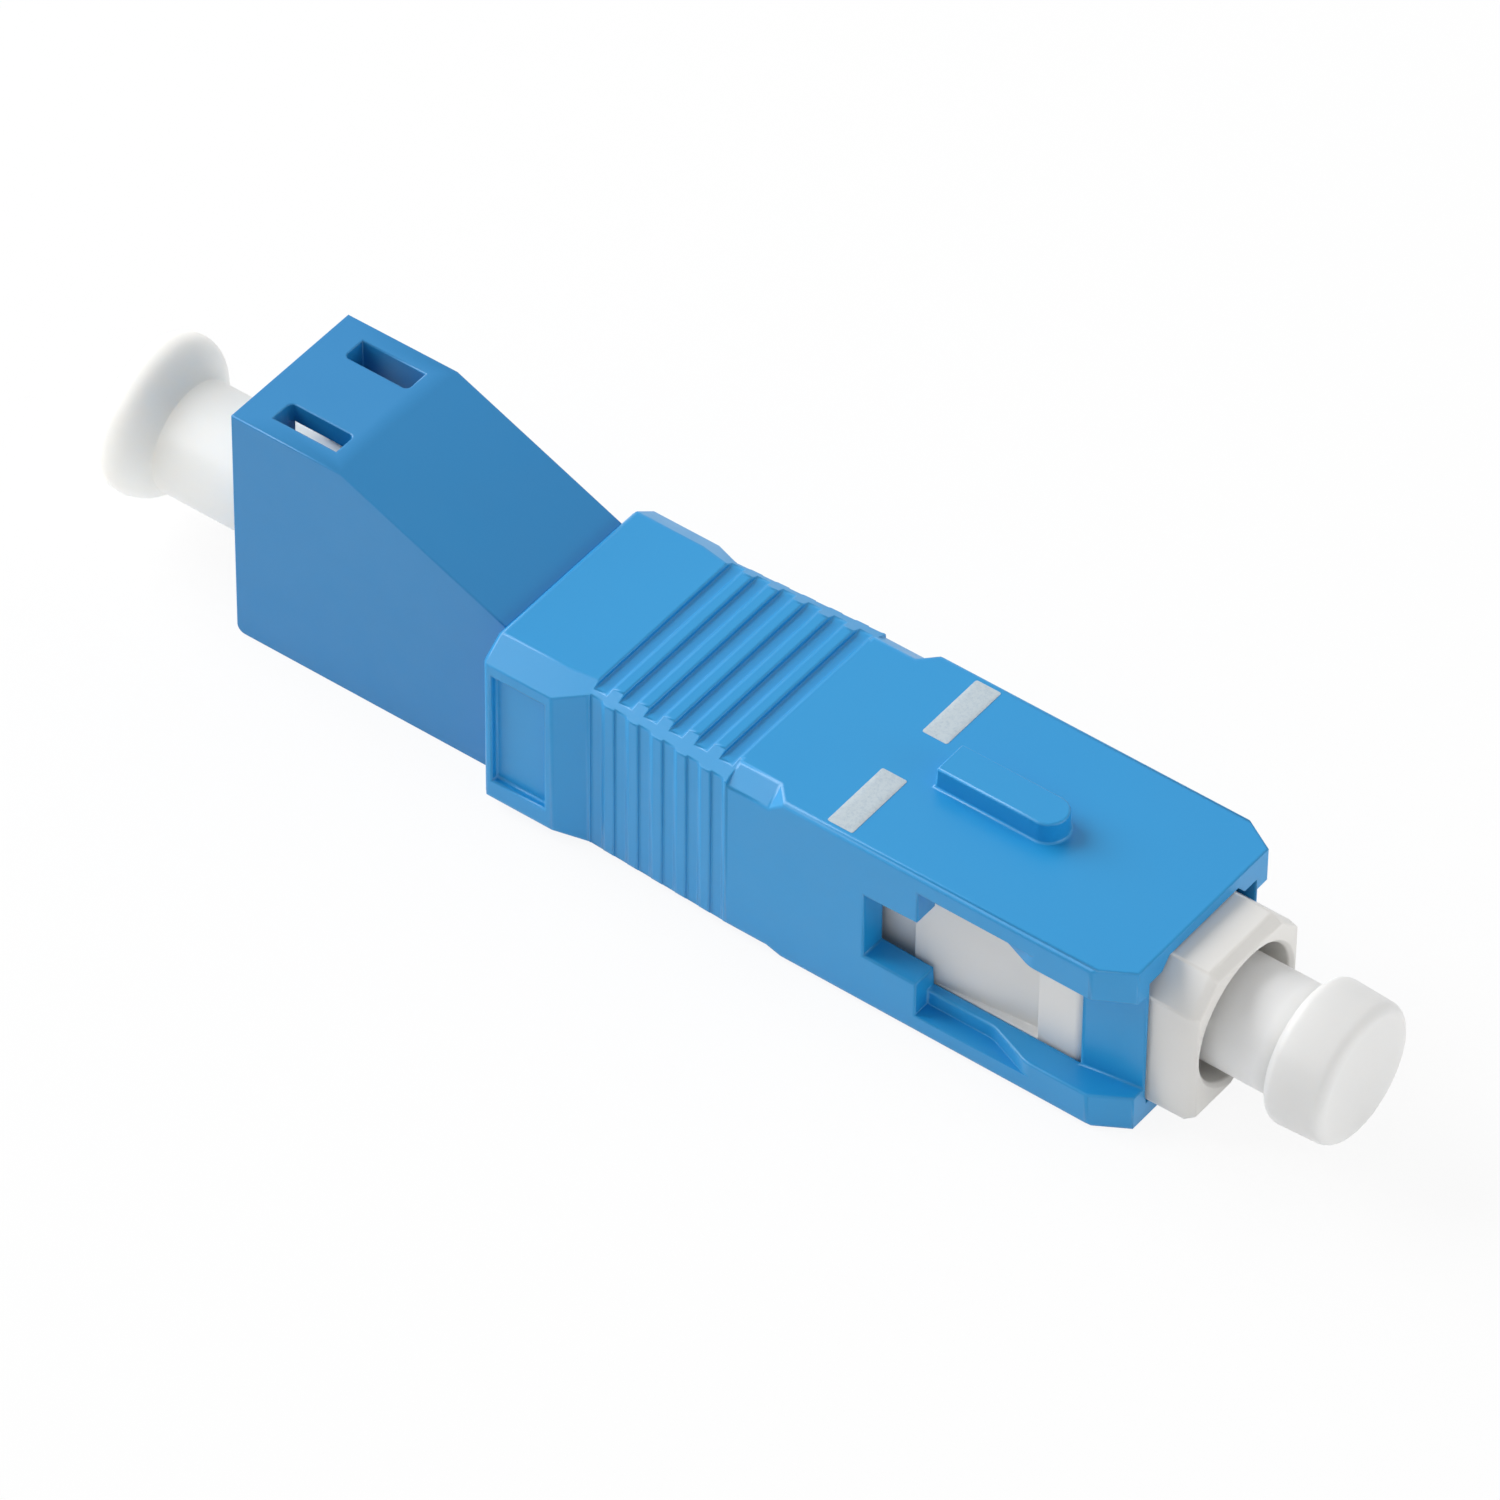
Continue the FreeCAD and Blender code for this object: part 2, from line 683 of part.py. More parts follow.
# LC housing: the port block and the shank that carries the plug frame
def build_lc_housing():
    housing = body("lc_housing")
    rear, shoulder = "-block_length", "-block_gap"
    outline = sketch(housing, "BlockOutline", "XZ_Plane")
    polygon(
        outline,
        [
            (rear, "-block_drop"),
            (rear, "block_top"),
            ("block_flat_length - block_length", "block_top"),
            (shoulder, "slope_end_height"),
            (shoulder, "-block_drop"),
        ],
    )
    pad(housing, "Block", outline, "block_width", symmetric=True)
    back, floor = -measure("block_length"), -measure("block_drop")

    def lower_rear(edge):
        box = edge.BoundBox
        return near(box.XMax, back) and near(box.ZMax, floor) and box.YLength > 1

    fillet(housing, "BlockCorner", "block_corner", lower_rear)
    shank_half = "(collar_width / 2 - grip_rear_wall - shank_gap)"
    shank_high = "(grip_height / 2 - grip_rear_roof - shank_gap)"
    shank = sketch(housing, "ShankSection", "YZ_Plane", shoulder)
    rectangle(shank, "-" + shank_half, shank_half, "-" + shank_high, shank_high)
    pad(housing, "Shank", shank, FRAME_REAR + " + block_gap")
    spigot = sketch(housing, "SpigotSection", "YZ_Plane", FRAME_REAR)
    half = SPIGOT_HALF_WIDTH
    rectangle(spigot, "-" + half, half, "-" + half, half)
    pad(housing, "Spigot", spigot, "spigot_length")

    # Port, the narrow latch channel above it, the wide catch chamber under the roof, and the
    # two catch windows through the roof
    port = sketch(housing, "PortOutline", "YZ_Plane", rear)
    rectangle(port, "-port_size / 2", "port_size / 2", "-port_size / 2", "port_size / 2")
    cut(housing, "Port", port, "port_depth", forward=True)
    channel = sketch(housing, "LatchChannelOutline", "YZ_Plane", rear)
    rectangle(channel, "-latch_width / 2", "latch_width / 2", "0", "block_top - port_roof")
    cut(housing, "LatchChannel", channel, "plug_reach + plug_clearance", forward=True)
    start = "catch_setback - block_length"
    chamber = sketch(housing, "CatchChamberOutline", "YZ_Plane", start)
    chamber_half = "(catch_spacing + catch_width) / 2"
    rectangle(chamber, "-" + chamber_half, chamber_half, "0", "block_top - port_roof")
    cut(housing, "CatchChamber", chamber, "catch_length", forward=True)
    catches = sketch(housing, "CatchWindowOutline", "XY_Plane")
    for sign in ("", "-"):
        edges = [
            "%s(catch_spacing %s catch_width) / 2" % (sign, step) for step in ("-", "+")
        ]
        rectangle(catches, start, start + " + catch_length", *edges)
    cut(housing, "CatchWindows", catches, "block_top + 1", forward=True)
    roof_top = measure("block_top")
    roof = measure("port_roof")

    def window_corner(edge):
        box = edge.BoundBox
        return upright(edge) and near(box.ZMax, roof_top) and near(box.ZLength, roof)

    fillet(housing, "CatchCorners", "catch_corner", window_corner)

    bore = sketch(housing, "BoreProfile", "XZ_Plane")
    seat_radius = "holder_flange_radius + fit_gap"
    polygon(
        bore,
        [
            (PORT_FLOOR + " - fit_gap", "0"),
            (PORT_FLOOR + " - fit_gap", seat_radius),
            (HOLDER_SEAT, seat_radius),
            (HOLDER_SEAT, "sleeve_web_radius"),
            (SLEEVE_WEB_END, "sleeve_web_radius"),
            (SLEEVE_WEB_END, "tail_bore_radius"),
            ("spring_seat_at", "tail_bore_radius"),
            ("spring_seat_at", "spring_bore_radius"),
            (SPIGOT_END + " + 1", "spring_bore_radius"),
            (SPIGOT_END + " + 1", "0"),
        ],
    )
    bored(housing, "Bore", bore)
    return housing


# Sleeve holder pressed into the port floor, and the split sleeve inside it
def build_holder():
    holder = body("lc_sleeve_holder")
    mouth = HOLDER_MOUTH
    bore_radius = "(sleeve_radius + fit_gap)"
    profile = sketch(holder, "Profile", "XZ_Plane")
    polygon(
        profile,
        [
            (mouth, "holder_lip_radius"),
            (mouth, "holder_tube_radius"),
            (PORT_FLOOR, "holder_tube_radius"),
            (PORT_FLOOR, "holder_flange_radius"),
            (HOLDER_SEAT, "holder_flange_radius"),
            (HOLDER_SEAT, bore_radius),
            (mouth + " + holder_lip", bore_radius),
            (mouth + " + holder_lip", "holder_lip_radius"),
        ],
    )
    turned(holder, "Holder", profile)
    at = measure(HOLDER_MOUTH)
    rim = measure("2 * holder_tube_radius")

    def mouth_rim(edge):
        return near(edge.BoundBox.XMax, at) and near(edge.BoundBox.ZLength, rim)

    chamfer(holder, "MouthChamfer", "holder_lip", mouth_rim)
    return holder


def build_sleeve():
    sleeve = body("lc_split_sleeve")
    start = "(%s + holder_lip + end_gap)" % HOLDER_MOUTH
    end = "(%s - end_gap)" % HOLDER_SEAT
    profile = sketch(sleeve, "Profile", "XZ_Plane")
    rectangle(profile, start, end, "sleeve_radius - sleeve_wall", "sleeve_radius")
    turned(sleeve, "Sleeve", profile)
    slit = sketch(sleeve, "SlotOutline", "YZ_Plane", start)
    rectangle(slit, "-sleeve_slot / 2", "sleeve_slot / 2", "-2 * sleeve_radius", "0")
    cut(sleeve, "Slot", slit, "%s - %s" % (end, start), forward=True)
    return sleeve


# Floating core: flange, both ferrules and the fibre through them
def build_flange():
    flange = body("ferrule_flange")
    tail_hole = "(lc_ferrule_radius + cement_gap)"
    front_hole = "(sc_ferrule_radius + cement_gap)"
    profile = sketch(flange, "Profile", "XZ_Plane")
    polygon(
        profile,
        [
            (TAIL_END, tail_hole),
            (TAIL_END, "tail_radius"),
            (FLANGE_REAR + " - hub_length", "tail_radius"),
            (FLANGE_REAR + " - hub_length", "hub_radius"),
            (FLANGE_REAR, "hub_radius"),
            (FLANGE_REAR, "flange_radius"),
            (WEB, "flange_radius"),
            (WEB, "collar_radius"),
            (COLLAR_END, "collar_radius"),
            (COLLAR_END, front_hole),
            (SC_SEAT, front_hole),
            (SC_SEAT, "2 * fibre_hole_radius"),
            (LC_SEAT, "2 * fibre_hole_radius"),
            (LC_SEAT, tail_hole),
        ],
    )
    turned(flange, "Flange", profile)
    notch = sketch(flange, "NotchOutline", "YZ_Plane", FLANGE_REAR)
    rectangle(
        notch,
        "-flange_notch / 2",
        "flange_notch / 2",
        "flange_radius - flange_notch_depth",
        "flange_radius + 1",
    )
    first = cut(flange, "Notch", notch, "flange_length", forward=True)
    before = volume(flange)
    ring = flange.newObject("PartDesign::PolarPattern", "Notches")
    ring.Originals = [first]
    ring.Axis = (profile, ["H_Axis"])
    ring.Angle = 360.0
    ring.Occurrences = 4
    flange.Tip = ring
    check_cut(flange, "Notches", before)
    return flange


def build_ferrule(name, back, tip, direction, radius, tip_chamfer):
    """A ceramic ferrule whose tip points along +X or -X, as direction is + or -."""
    ferrule = body(name)
    back_to = {"+": "-", "-": "+"}[direction]
    profile = sketch(ferrule, "Profile", "XZ_Plane")
    polygon(
        profile,
        [
            (back, "fibre_hole_radius"),
            (back, radius),
            ("%s %s %s" % (tip, back_to, tip_chamfer), radius),
            (tip, "%s - %s" % (radius, tip_chamfer)),
            (tip, "fibre_hole_radius"),
        ],
    )
    turned(ferrule, "Ferrule", profile)
    return ferrule


def build_fibre():
    fibre = body("fibre_stub")
    section = sketch(fibre, "Section", "YZ_Plane", LC_TIP)
    circle(section, "fibre_radius")
    pad(fibre, "Fibre", section, "%s - %s" % (SC_TIP, LC_TIP))
    return fibre


# Coil spring between the shank's seat and the flange
def build_spring():
    spring = body("ferrule_spring")
    start = "(spring_seat_at + end_gap + wire_radius)"
    wire = sketch(spring, "WireSection", "XZ_Plane")
    flats = []
    for corner in range(6):
        angle = math.pi * corner / 3
        along = "%s + wire_radius * %.6f" % (start, math.cos(angle))
        flats.append((along, "spring_radius + wire_radius * %.6f" % math.sin(angle)))
    polygon(wire, flats)
    coil = spring.newObject("PartDesign::AdditiveHelix", "Coil")
    coil.Profile = wire
    coil.ReferenceAxis = (wire, ["H_Axis"])
    coil.Mode = "pitch-height-angle"
    coil.setExpression("Pitch", bound("spring_pitch"))
    coil.setExpression("Height", bound("%s - end_gap - wire_radius - %s" % (FLANGE_REAR, start)))
    return spring


# LC dust plug: the shaft sits a little above the optical axis and the head a little above the
# shaft, its pocket lies on the axis
def build_lc_plug():
    plug = body("lc_dust_plug")
    neck = "(-block_length - plug_neck_at)"
    rim = "(%s - plug_flare_length)" % neck
    profile = sketch(plug, "ShaftProfile", "XZ_Plane", rise="plug_rise")
    polygon(
        profile,
        [
            (PLUG_TIP, "0"),
            (PLUG_TIP, "plug_radius - plug_tip_chamfer"),
            (PLUG_TIP + " - plug_tip_chamfer", "plug_radius"),
            (rim, "plug_radius"),
            (rim, "0"),
        ],
    )
    turned(plug, "Shaft", profile)
    disc = sketch(plug, "HeadProfile", "XZ_Plane", rise="plug_head_rise")
    polygon(
        disc,
        [
            (neck, "0"),
            (neck, "plug_neck_radius"),
            (rim + " + 0.4 * plug_head_edge", "plug_head_radius - 0.4 * plug_head_edge"),
            (rim + " - 0.4 * plug_head_edge", "plug_head_radius"),
            (PLUG_HEAD_REAR, "plug_head_radius"),
            (PLUG_HEAD_REAR, "0"),
        ],
    )
    turned(plug, "Head", disc)
    back = measure(PLUG_HEAD_REAR)
    fillet(plug, "HeadRounding", "plug_head_edge", lambda edge: near(edge.BoundBox.XMax, back))
    pocket = sketch(plug, "PocketOutline", "YZ_Plane", PLUG_TIP)
    circle(pocket, "plug_bore_radius")
    cut(plug, "Pocket", pocket, "%s + plug_bore_play - %s" % (PLUG_TIP, HOLDER_MOUTH))
    return plug


# SC dust cap: a tube over the ferrule and a pull head
def build_sc_cap():
    cap = body("sc_dust_cap")
    start = "(%s - cap_tube_inside)" % FRAME_FRONT
    profile = sketch(cap, "Profile", "XZ_Plane")
    polygon(
        profile,
        [
            (start, "cap_bore_radius"),
            (start, "cap_tube_radius - cap_tip_chamfer"),
            (start + " + cap_tip_chamfer", "cap_tube_radius"),
            (CAP_HEAD, "cap_tube_radius"),
            (CAP_HEAD, "cap_head_radius - cap_head_edge"),
            (CAP_HEAD + " + 0.3 * cap_head_edge", "cap_head_radius - 0.3 * cap_head_edge"),
            (CAP_HEAD + " + cap_head_edge", "cap_head_radius"),
            (CAP_FRONT, "cap_head_radius - cap_head_taper"),
            (CAP_FRONT, "0"),
            (SC_TIP + " + cap_bore_play", "0"),
            (SC_TIP + " + cap_bore_play", "cap_bore_radius"),
        ],
    )
    turned(cap, "Cap", profile)
    front = measure(CAP_FRONT)

    def rim(edge):
        return near(edge.BoundBox.XMin, front) and edge.BoundBox.ZLength > 1

    fillet(cap, "HeadRim", "cap_head_edge", rim)
    return cap


pieces = [
    build_grip(),
    build_frame(),
    build_lc_housing(),
    build_holder(),
    build_sleeve(),
    build_flange(),
    build_ferrule("sc_ferrule", SC_SEAT, SC_TIP, "+", "sc_ferrule_radius", "sc_tip_chamfer"),
    build_ferrule(
        "lc_ferrule", LC_SEAT, LC_TIP, "-", "lc_ferrule_radius", "lc_tip_chamfer"
    ),
    build_fibre(),
    build_spring(),
    build_lc_plug(),
    build_sc_cap(),
]
doc.recompute()

for thing in doc.Objects:
    if "Invalid" in thing.State or "Error" in thing.State:
        raise RuntimeError("%s is %s" % (thing.Label, thing.State))
for piece in pieces:
    if piece.Shape.isNull() or not piece.Shape.isValid() or len(piece.Shape.Solids) != 1:
        raise RuntimeError("%s is not one valid solid" % piece.Label)
for piece in pieces:
    piece.Shape.exportStep("parts/%s.step" % piece.Label)
    box = piece.Shape.BoundBox
    ends = (box.XMin, box.XMax, box.YMin, box.YMax, box.ZMin, box.ZMax)
    print("%-18s volume %8.2f  box %s" % (piece.Label, piece.Shape.Volume, [round(v, 2) for v in ends]))
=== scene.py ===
"""Looks for an inline fibre adapter: grip, port block, dust plug and dust cap."""

import logging
import math
from dataclasses import dataclass, field
from enum import Enum
from typing import Any, Mapping, Optional, Sequence

import bmesh
import bpy
import numpy as np
from mathutils import Matrix, Vector


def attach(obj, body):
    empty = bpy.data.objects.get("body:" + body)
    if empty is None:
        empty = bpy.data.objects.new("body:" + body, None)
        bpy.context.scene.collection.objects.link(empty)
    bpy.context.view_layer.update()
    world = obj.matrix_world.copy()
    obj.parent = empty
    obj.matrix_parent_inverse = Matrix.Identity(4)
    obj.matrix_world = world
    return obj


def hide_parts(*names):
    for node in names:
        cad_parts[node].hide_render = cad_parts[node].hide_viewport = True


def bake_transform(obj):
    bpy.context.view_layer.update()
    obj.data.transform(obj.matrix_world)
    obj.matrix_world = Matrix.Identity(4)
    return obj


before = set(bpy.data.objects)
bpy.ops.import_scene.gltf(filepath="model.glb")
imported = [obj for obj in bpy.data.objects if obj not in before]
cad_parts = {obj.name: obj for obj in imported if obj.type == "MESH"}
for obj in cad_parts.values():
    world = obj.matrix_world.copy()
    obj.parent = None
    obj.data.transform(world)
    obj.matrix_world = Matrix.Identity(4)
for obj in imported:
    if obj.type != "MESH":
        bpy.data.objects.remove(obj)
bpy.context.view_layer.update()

MM = 0.001
AXIS_HEIGHT = 3.82  # height of the optical axis over the bench, in mm
GRIP_REAR = -7.36  # X of the grip's rear face, in mm
WELD = 1e-7  # points nearer than this are one, in metres
WHITE = (1.0, 1.0, 1.0, 1.0)
LOG = logging.getLogger("adapter")


class Body(Enum):
    """The bodies that the pieces ride on."""

    ADAPTER = "adapter_body"
    GRIP = "grip"
    CORE = "ferrule_core"
    PORT_PLUG = "lc_plug"
    CAP = "sc_cap"


class Slot(Enum):
    """The record's material slots that the new pieces stand for."""

    GRIP = "blue_grip"
    PORT = "blue_port"
    FRAME = "ivory_frame"
    PLUG = "white_plug"
    CAP = "clear_cap"
    SPRING = "spring_steel"


# ---- Node and colour helpers ----


def linear(code: str) -> tuple[float, float, float, float]:
    """Turns an sRGB hex colour into linear RGBA by the standard's own curve.

    Args:
        code: Six hex digits, red first.

    Returns:
        Red, green and blue as linear numbers, and an alpha of 1.
    """
    srgb = np.array([int(code[k:k + 2], 16) for k in (0, 2, 4)]) / 255
    low, high = srgb / 12.92, ((srgb + 0.055) / 1.055) ** 2.4
    red, green, blue = np.where(srgb <= 0.04045, low, high)
    return float(red), float(green), float(blue), 1.0


def add(
    tree: bpy.types.NodeTree,
    kind: str,
    settings: Optional[Mapping[str, Any]] = None,
    links: Optional[Mapping[Any, bpy.types.NodeSocket]] = None,
) -> bpy.types.Node:
    """Adds a node to a tree, sets it up and links its inputs.

    Args:
        tree: The node tree.
        kind: The node's type without the leading "ShaderNode".
        settings: Values by property name or by input socket name, and as "ramp" the
            places and hex colours of a colour ramp's two ends.
        links: Output sockets by the input's name or number.

    Returns:
        The new node.
    """
    node = tree.nodes.new("ShaderNode" + kind)
    for name, value in (settings or {}).items():
        if name == "ramp":
            for stop, (place, code) in zip(node.color_ramp.elements, value):
                stop.position, stop.color = place, linear(code)
        elif name in node.inputs:
            node.inputs[name].default_value = value
        else:
            setattr(node, name, value)
    for name, socket in (links or {}).items():
        tree.links.new(socket, node.inputs[name])
    return node


def per_mm(size: float) -> float:
    """A texture's scale for features of a size in mm on Object coordinates in metres."""
    return 1.0 / (size * MM)


def new_material(
    name: str,
) -> tuple[bpy.types.Material, bpy.types.NodeTree, bpy.types.NodeSocket]:
    """Makes an empty node material.

    Args:
        name: The material's name.

    Returns:
        The material, its tree, and an Object coordinate socket to drive patterns with.
    """
    material = bpy.data.materials.new(name)
    material.use_nodes = True
    tree = material.node_tree
    tree.nodes.clear()
    return material, tree, add(tree, "TexCoord").outputs["Object"]


def new_object(name: str, data: bpy.types.ID) -> bpy.types.Object:
    """Makes an object of a mesh, a lamp or a camera and links it to the scene.

    Args:
        name: The object's name.
        data: Its mesh, lamp or camera.

    Returns:
        The object.
    """
    made = bpy.data.objects.new(name, data)
    bpy.context.scene.collection.objects.link(made)
    return made


def dress(piece: bpy.types.Object, material: bpy.types.Material) -> None:
    """Gives a piece one material in place of those it has.

    Args:
        piece: The object.
        material: Its finish.
    """
    piece.data.materials.clear()
    piece.data.materials.append(material)


# ---- Finishes ----


@dataclass(frozen=True)
class MouldedPolymer:
    """Injection-moulded plastic with a finely eroded, satin tool finish.

    Colour drifts slightly along the flow, the roughness changes in soft patches, and a
    shallow grain breaks the highlights up. Where a span of X is given, the colour is
    painted lighter up to its first X, as light shining through a thin part, and turns to
    flow_colour from its second.
    """

    name: str
    colour: str
    flow_colour: str
    roughness: float = 0.36
    roughness_drift: float = 0.08
    ior: float = 1.5
    scatter_weight: float = 0.0
    scatter_depth_mm: float = 0.6
    scatter_tint: tuple[float, float, float] = (1.0, 0.95, 0.9)
    # Painted light: the span of X in mm up to which the colour is painted lighter, and how
    # far it shifts
    painted_through_light_mm: Optional[tuple[float, float]] = None
    painted_through_light_shift: float = 0.3
    flow_mm: float = 7.0
    flow_stretch: float = 0.45
    patch_mm: float = 1.6
    # A real eroded grain is about 0.04 mm: drawn coarser, so that it shows
    grain_mm: float = 0.13
    grain_depth_mm: float = 0.0012

    def build(self) -> bpy.types.Material:
        """Makes the material.

        Returns:
            The node material.
        """
        material, tree, place = new_material(self.name)
        scale = (self.flow_stretch, 1.0, 1.0)
        stretch = add(tree, "Mapping", {"Scale": scale}, {"Vector": place})
        flow = add(
            tree,
            "TexNoise",
            {"Scale": per_mm(self.flow_mm), "Detail": 3.0, "Roughness": 0.45},
            {"Vector": stretch.outputs["Vector"]},
        )
        drive = flow.outputs["Fac"]
        # Painted light: lighter colour before the span's first X, as light shining through
        # a thin part, and flow_colour after its second
        if self.painted_through_light_mm:
            along = add(tree, "SeparateXYZ", None, {"Vector": place})
            start, end = self.painted_through_light_mm
            glow_ramp = add(
                tree,
                "MapRange",
                {
                    "From Min": start * MM,
                    "From Max": end * MM,
                    "To Min": -self.painted_through_light_shift,
                    "To Max": self.painted_through_light_shift,
                },
                {"Value": along.outputs["X"]},
            )
            drive = add(
                tree, "Math", {"operation": "ADD"}, {0: glow_ramp.outputs["Result"], 1: drive}
            ).outputs["Value"]
        colour = add(
            tree,
            "ValToRGB",
            {"ramp": [(0.32, self.colour), (0.68, self.flow_colour)]},
            {"Fac": drive},
        )
        patch = add(
            tree,
            "TexNoise",
            {"Scale": per_mm(self.patch_mm), "Detail": 4.0},
            {"Vector": place},
        )
        drift = self.roughness_drift / 2
        least, most = self.roughness - drift, self.roughness + drift
        rough = add(
            tree,
            "MapRange",
            {"From Min": 0.3, "From Max": 0.7, "To Min": least, "To Max": most},
            {"Value": patch.outputs["Fac"]},
        )
        grain = add(
            tree,
            "TexNoise",
            {"Scale": per_mm(self.grain_mm), "Detail": 2.0, "Roughness": 0.6},
            {"Vector": place},
        )
        relief = add(
            tree,
            "Bump",
            {"Distance": self.grain_depth_mm * MM, "Strength": 1.0},
            {"Height": grain.outputs["Fac"]},
        )
        shader = add(
            tree,
            "BsdfPrincipled",
            {
                "IOR": self.ior,
                "Subsurface Weight": self.scatter_weight,
                "Subsurface Scale": self.scatter_depth_mm * MM,
                "Subsurface Radius": self.scatter_tint,
            },
            {
                "Base Color": colour.outputs["Color"],
                "Roughness": rough.outputs["Result"],
                "Normal": relief.outputs["Normal"],
            },
        )
        add(tree, "OutputMaterial", None, {"Surface": shader.outputs["BSDF"]})
        return material


@dataclass(frozen=True)
class PadPrint:
    """Pad-printed ink: a thin, matte film whose coverage is slightly uneven."""

    name: str
    colour: str
    thin_colour: str
    roughness: float = 0.55
    ior: float = 1.48
    # Real ink is uneven at about 0.03 mm: drawn coarser, so that it shows
    speckle_mm: float = 0.11
    speckle_depth_mm: float = 0.002

    def build(self) -> bpy.types.Material:
        """Makes the material.

        Returns:
            The node material.
        """
        material, tree, place = new_material(self.name)
        speckle = add(
            tree,
            "TexNoise",
            {"Scale": per_mm(self.speckle_mm), "Detail": 3.0, "Roughness": 0.7},
            {"Vector": place},
        )
        cover = add(
            tree,
            "ValToRGB",
            {"ramp": [(0.3, self.thin_colour), (0.55, self.colour)]},
            {"Fac": speckle.outputs["Fac"]},
        )
        relief = add(
            tree,
            "Bump",
            {"Distance": self.speckle_depth_mm * MM},
            {"Height": speckle.outputs["Fac"]},
        )
        shader = add(
            tree,
            "BsdfPrincipled",
            {"Roughness": self.roughness, "IOR": self.ior},
            {"Base Color": cover.outputs["Color"], "Normal": relief.outputs["Normal"]},
        )
        add(tree, "OutputMaterial", None, {"Surface": shader.outputs["BSDF"]})
        return material


@dataclass(frozen=True)
class TurnedMetal:
    """Metal with the fine lines of a lathe or a drawing die running round the axis."""

    name: str
    colour: str
    line_colour: str
    roughness: float
    # A real tool's lines are about 0.03 mm apart: drawn coarser, so that they show
    line_mm: float = 0.09
    line_depth_mm: float = 0.0015
    line_stretch: float = 0.05
    roughness_span: tuple[float, float] = (0.8, 1.25)

    def build(self) -> bpy.types.Material:
        """Makes the material.

        Returns:
            The node material.
        """
        material, tree, place = new_material(self.name)
        scale = (1.0, self.line_stretch, self.line_stretch)
        stretch = add(tree, "Mapping", {"Scale": scale}, {"Vector": place})
        lines = add(
            tree,
            "TexNoise",
            {"Scale": per_mm(self.line_mm), "Detail": 2.0},
            {"Vector": stretch.outputs["Vector"]},
        )
        tone = add(
            tree,
            "ValToRGB",
            {"ramp": [(0.35, self.line_colour), (0.6, self.colour)]},
            {"Fac": lines.outputs["Fac"]},
        )
        least, most = (self.roughness * factor for factor in self.roughness_span)
        rough = add(
            tree,
            "MapRange",
            {"To Min": least, "To Max": most},
            {"Value": lines.outputs["Fac"]},
        )
        relief = add(
            tree,
            "Bump",
            {"Distance": self.line_depth_mm * MM},
            {"Height": lines.outputs["Fac"]},
        )
        shader = add(
            tree,
            "BsdfPrincipled",
            {"Metallic": 1.0},
            {
                "Base Color": tone.outputs["Color"],
                "Roughness": rough.outputs["Result"],
                "Normal": relief.outputs["Normal"],
            },
        )
        add(tree, "OutputMaterial", None, {"Surface": shader.outputs["BSDF"]})
        return material


@dataclass(frozen=True)
class FiredCeramic:
    """Zirconia: dense, slightly translucent white, finely ground round the axis."""

    name: str
    colour: str
    cool_colour: str
    roughness: float = 0.16
    roughness_span: tuple[float, float] = (0.7, 1.4)
    ior: float = 2.15
    scatter_weight: float = 0.25
    scatter_depth_mm: float = 0.3
    scatter_tint: tuple[float, float, float] = (1.0, 0.95, 0.85)
    cloud_mm: float = 2.2
    # Real grinding lines are about 0.01 mm apart: drawn coarser, so that they show
    line_mm: float = 0.05
    line_stretch: float = 0.06

    def build(self) -> bpy.types.Material:
        """Makes the material.

        Returns:
            The node material.
        """
        material, tree, place = new_material(self.name)
        cloud = add(
            tree,
            "TexNoise",
            {"Scale": per_mm(self.cloud_mm), "Detail": 3.0},
            {"Vector": place},
        )
        tone = add(
            tree,
            "ValToRGB",
            {"ramp": [(0.3, self.cool_colour), (0.7, self.colour)]},
            {"Fac": cloud.outputs["Fac"]},
        )
        scale = (1.0, self.line_stretch, self.line_stretch)
        stretch = add(tree, "Mapping", {"Scale": scale}, {"Vector": place})
        lines = add(
            tree,
            "TexNoise",
            {"Scale": per_mm(self.line_mm), "Detail": 1.0},
            {"Vector": stretch.outputs["Vector"]},
        )
        least, most = (self.roughness * factor for factor in self.roughness_span)
        rough = add(
            tree,
            "MapRange",
            {"To Min": least, "To Max": most},
            {"Value": lines.outputs["Fac"]},
        )
        shader = add(
            tree,
            "BsdfPrincipled",
            {
                "IOR": self.ior,
                "Subsurface Weight": self.scatter_weight,
                "Subsurface Scale": self.scatter_depth_mm * MM,
                "Subsurface Radius": self.scatter_tint,
            },
            {"Base Color": tone.outputs["Color"], "Roughness": rough.outputs["Result"]},
        )
        add(tree, "OutputMaterial", None, {"Surface": shader.outputs["BSDF"]})
        return material


@dataclass(frozen=True)
class DrawnGlass:
    """Silica fibre: clear, with a polished end and a faint cool tint."""

    name: str
    colour: str
    deep_colour: str
    roughness: float = 0.04
    ior: float = 1.46
    clearness: float = 0.9
    tint_mm: float = 1.5

    def build(self) -> bpy.types.Material:
        """Makes the material.

        Returns:
            The node material.
        """
        material, tree, place = new_material(self.name)
        tint = add(
            tree,
            "TexNoise",
            {"Scale": per_mm(self.tint_mm), "Detail": 1.0},
            {"Vector": place},
        )
        tone = add(
            tree,
            "ValToRGB",
            {"ramp": [(0.3, self.deep_colour), (0.7, self.colour)]},
            {"Fac": tint.outputs["Fac"]},
        )
        shader = add(
            tree,
            "BsdfPrincipled",
            {
                "Roughness": self.roughness,
                "IOR": self.ior,
                "Transmission Weight": self.clearness,
            },
            {"Base Color": tone.outputs["Color"]},
        )
        add(tree, "OutputMaterial", None, {"Surface": shader.outputs["BSDF"]})
        return material


# ---- Surfaces ----


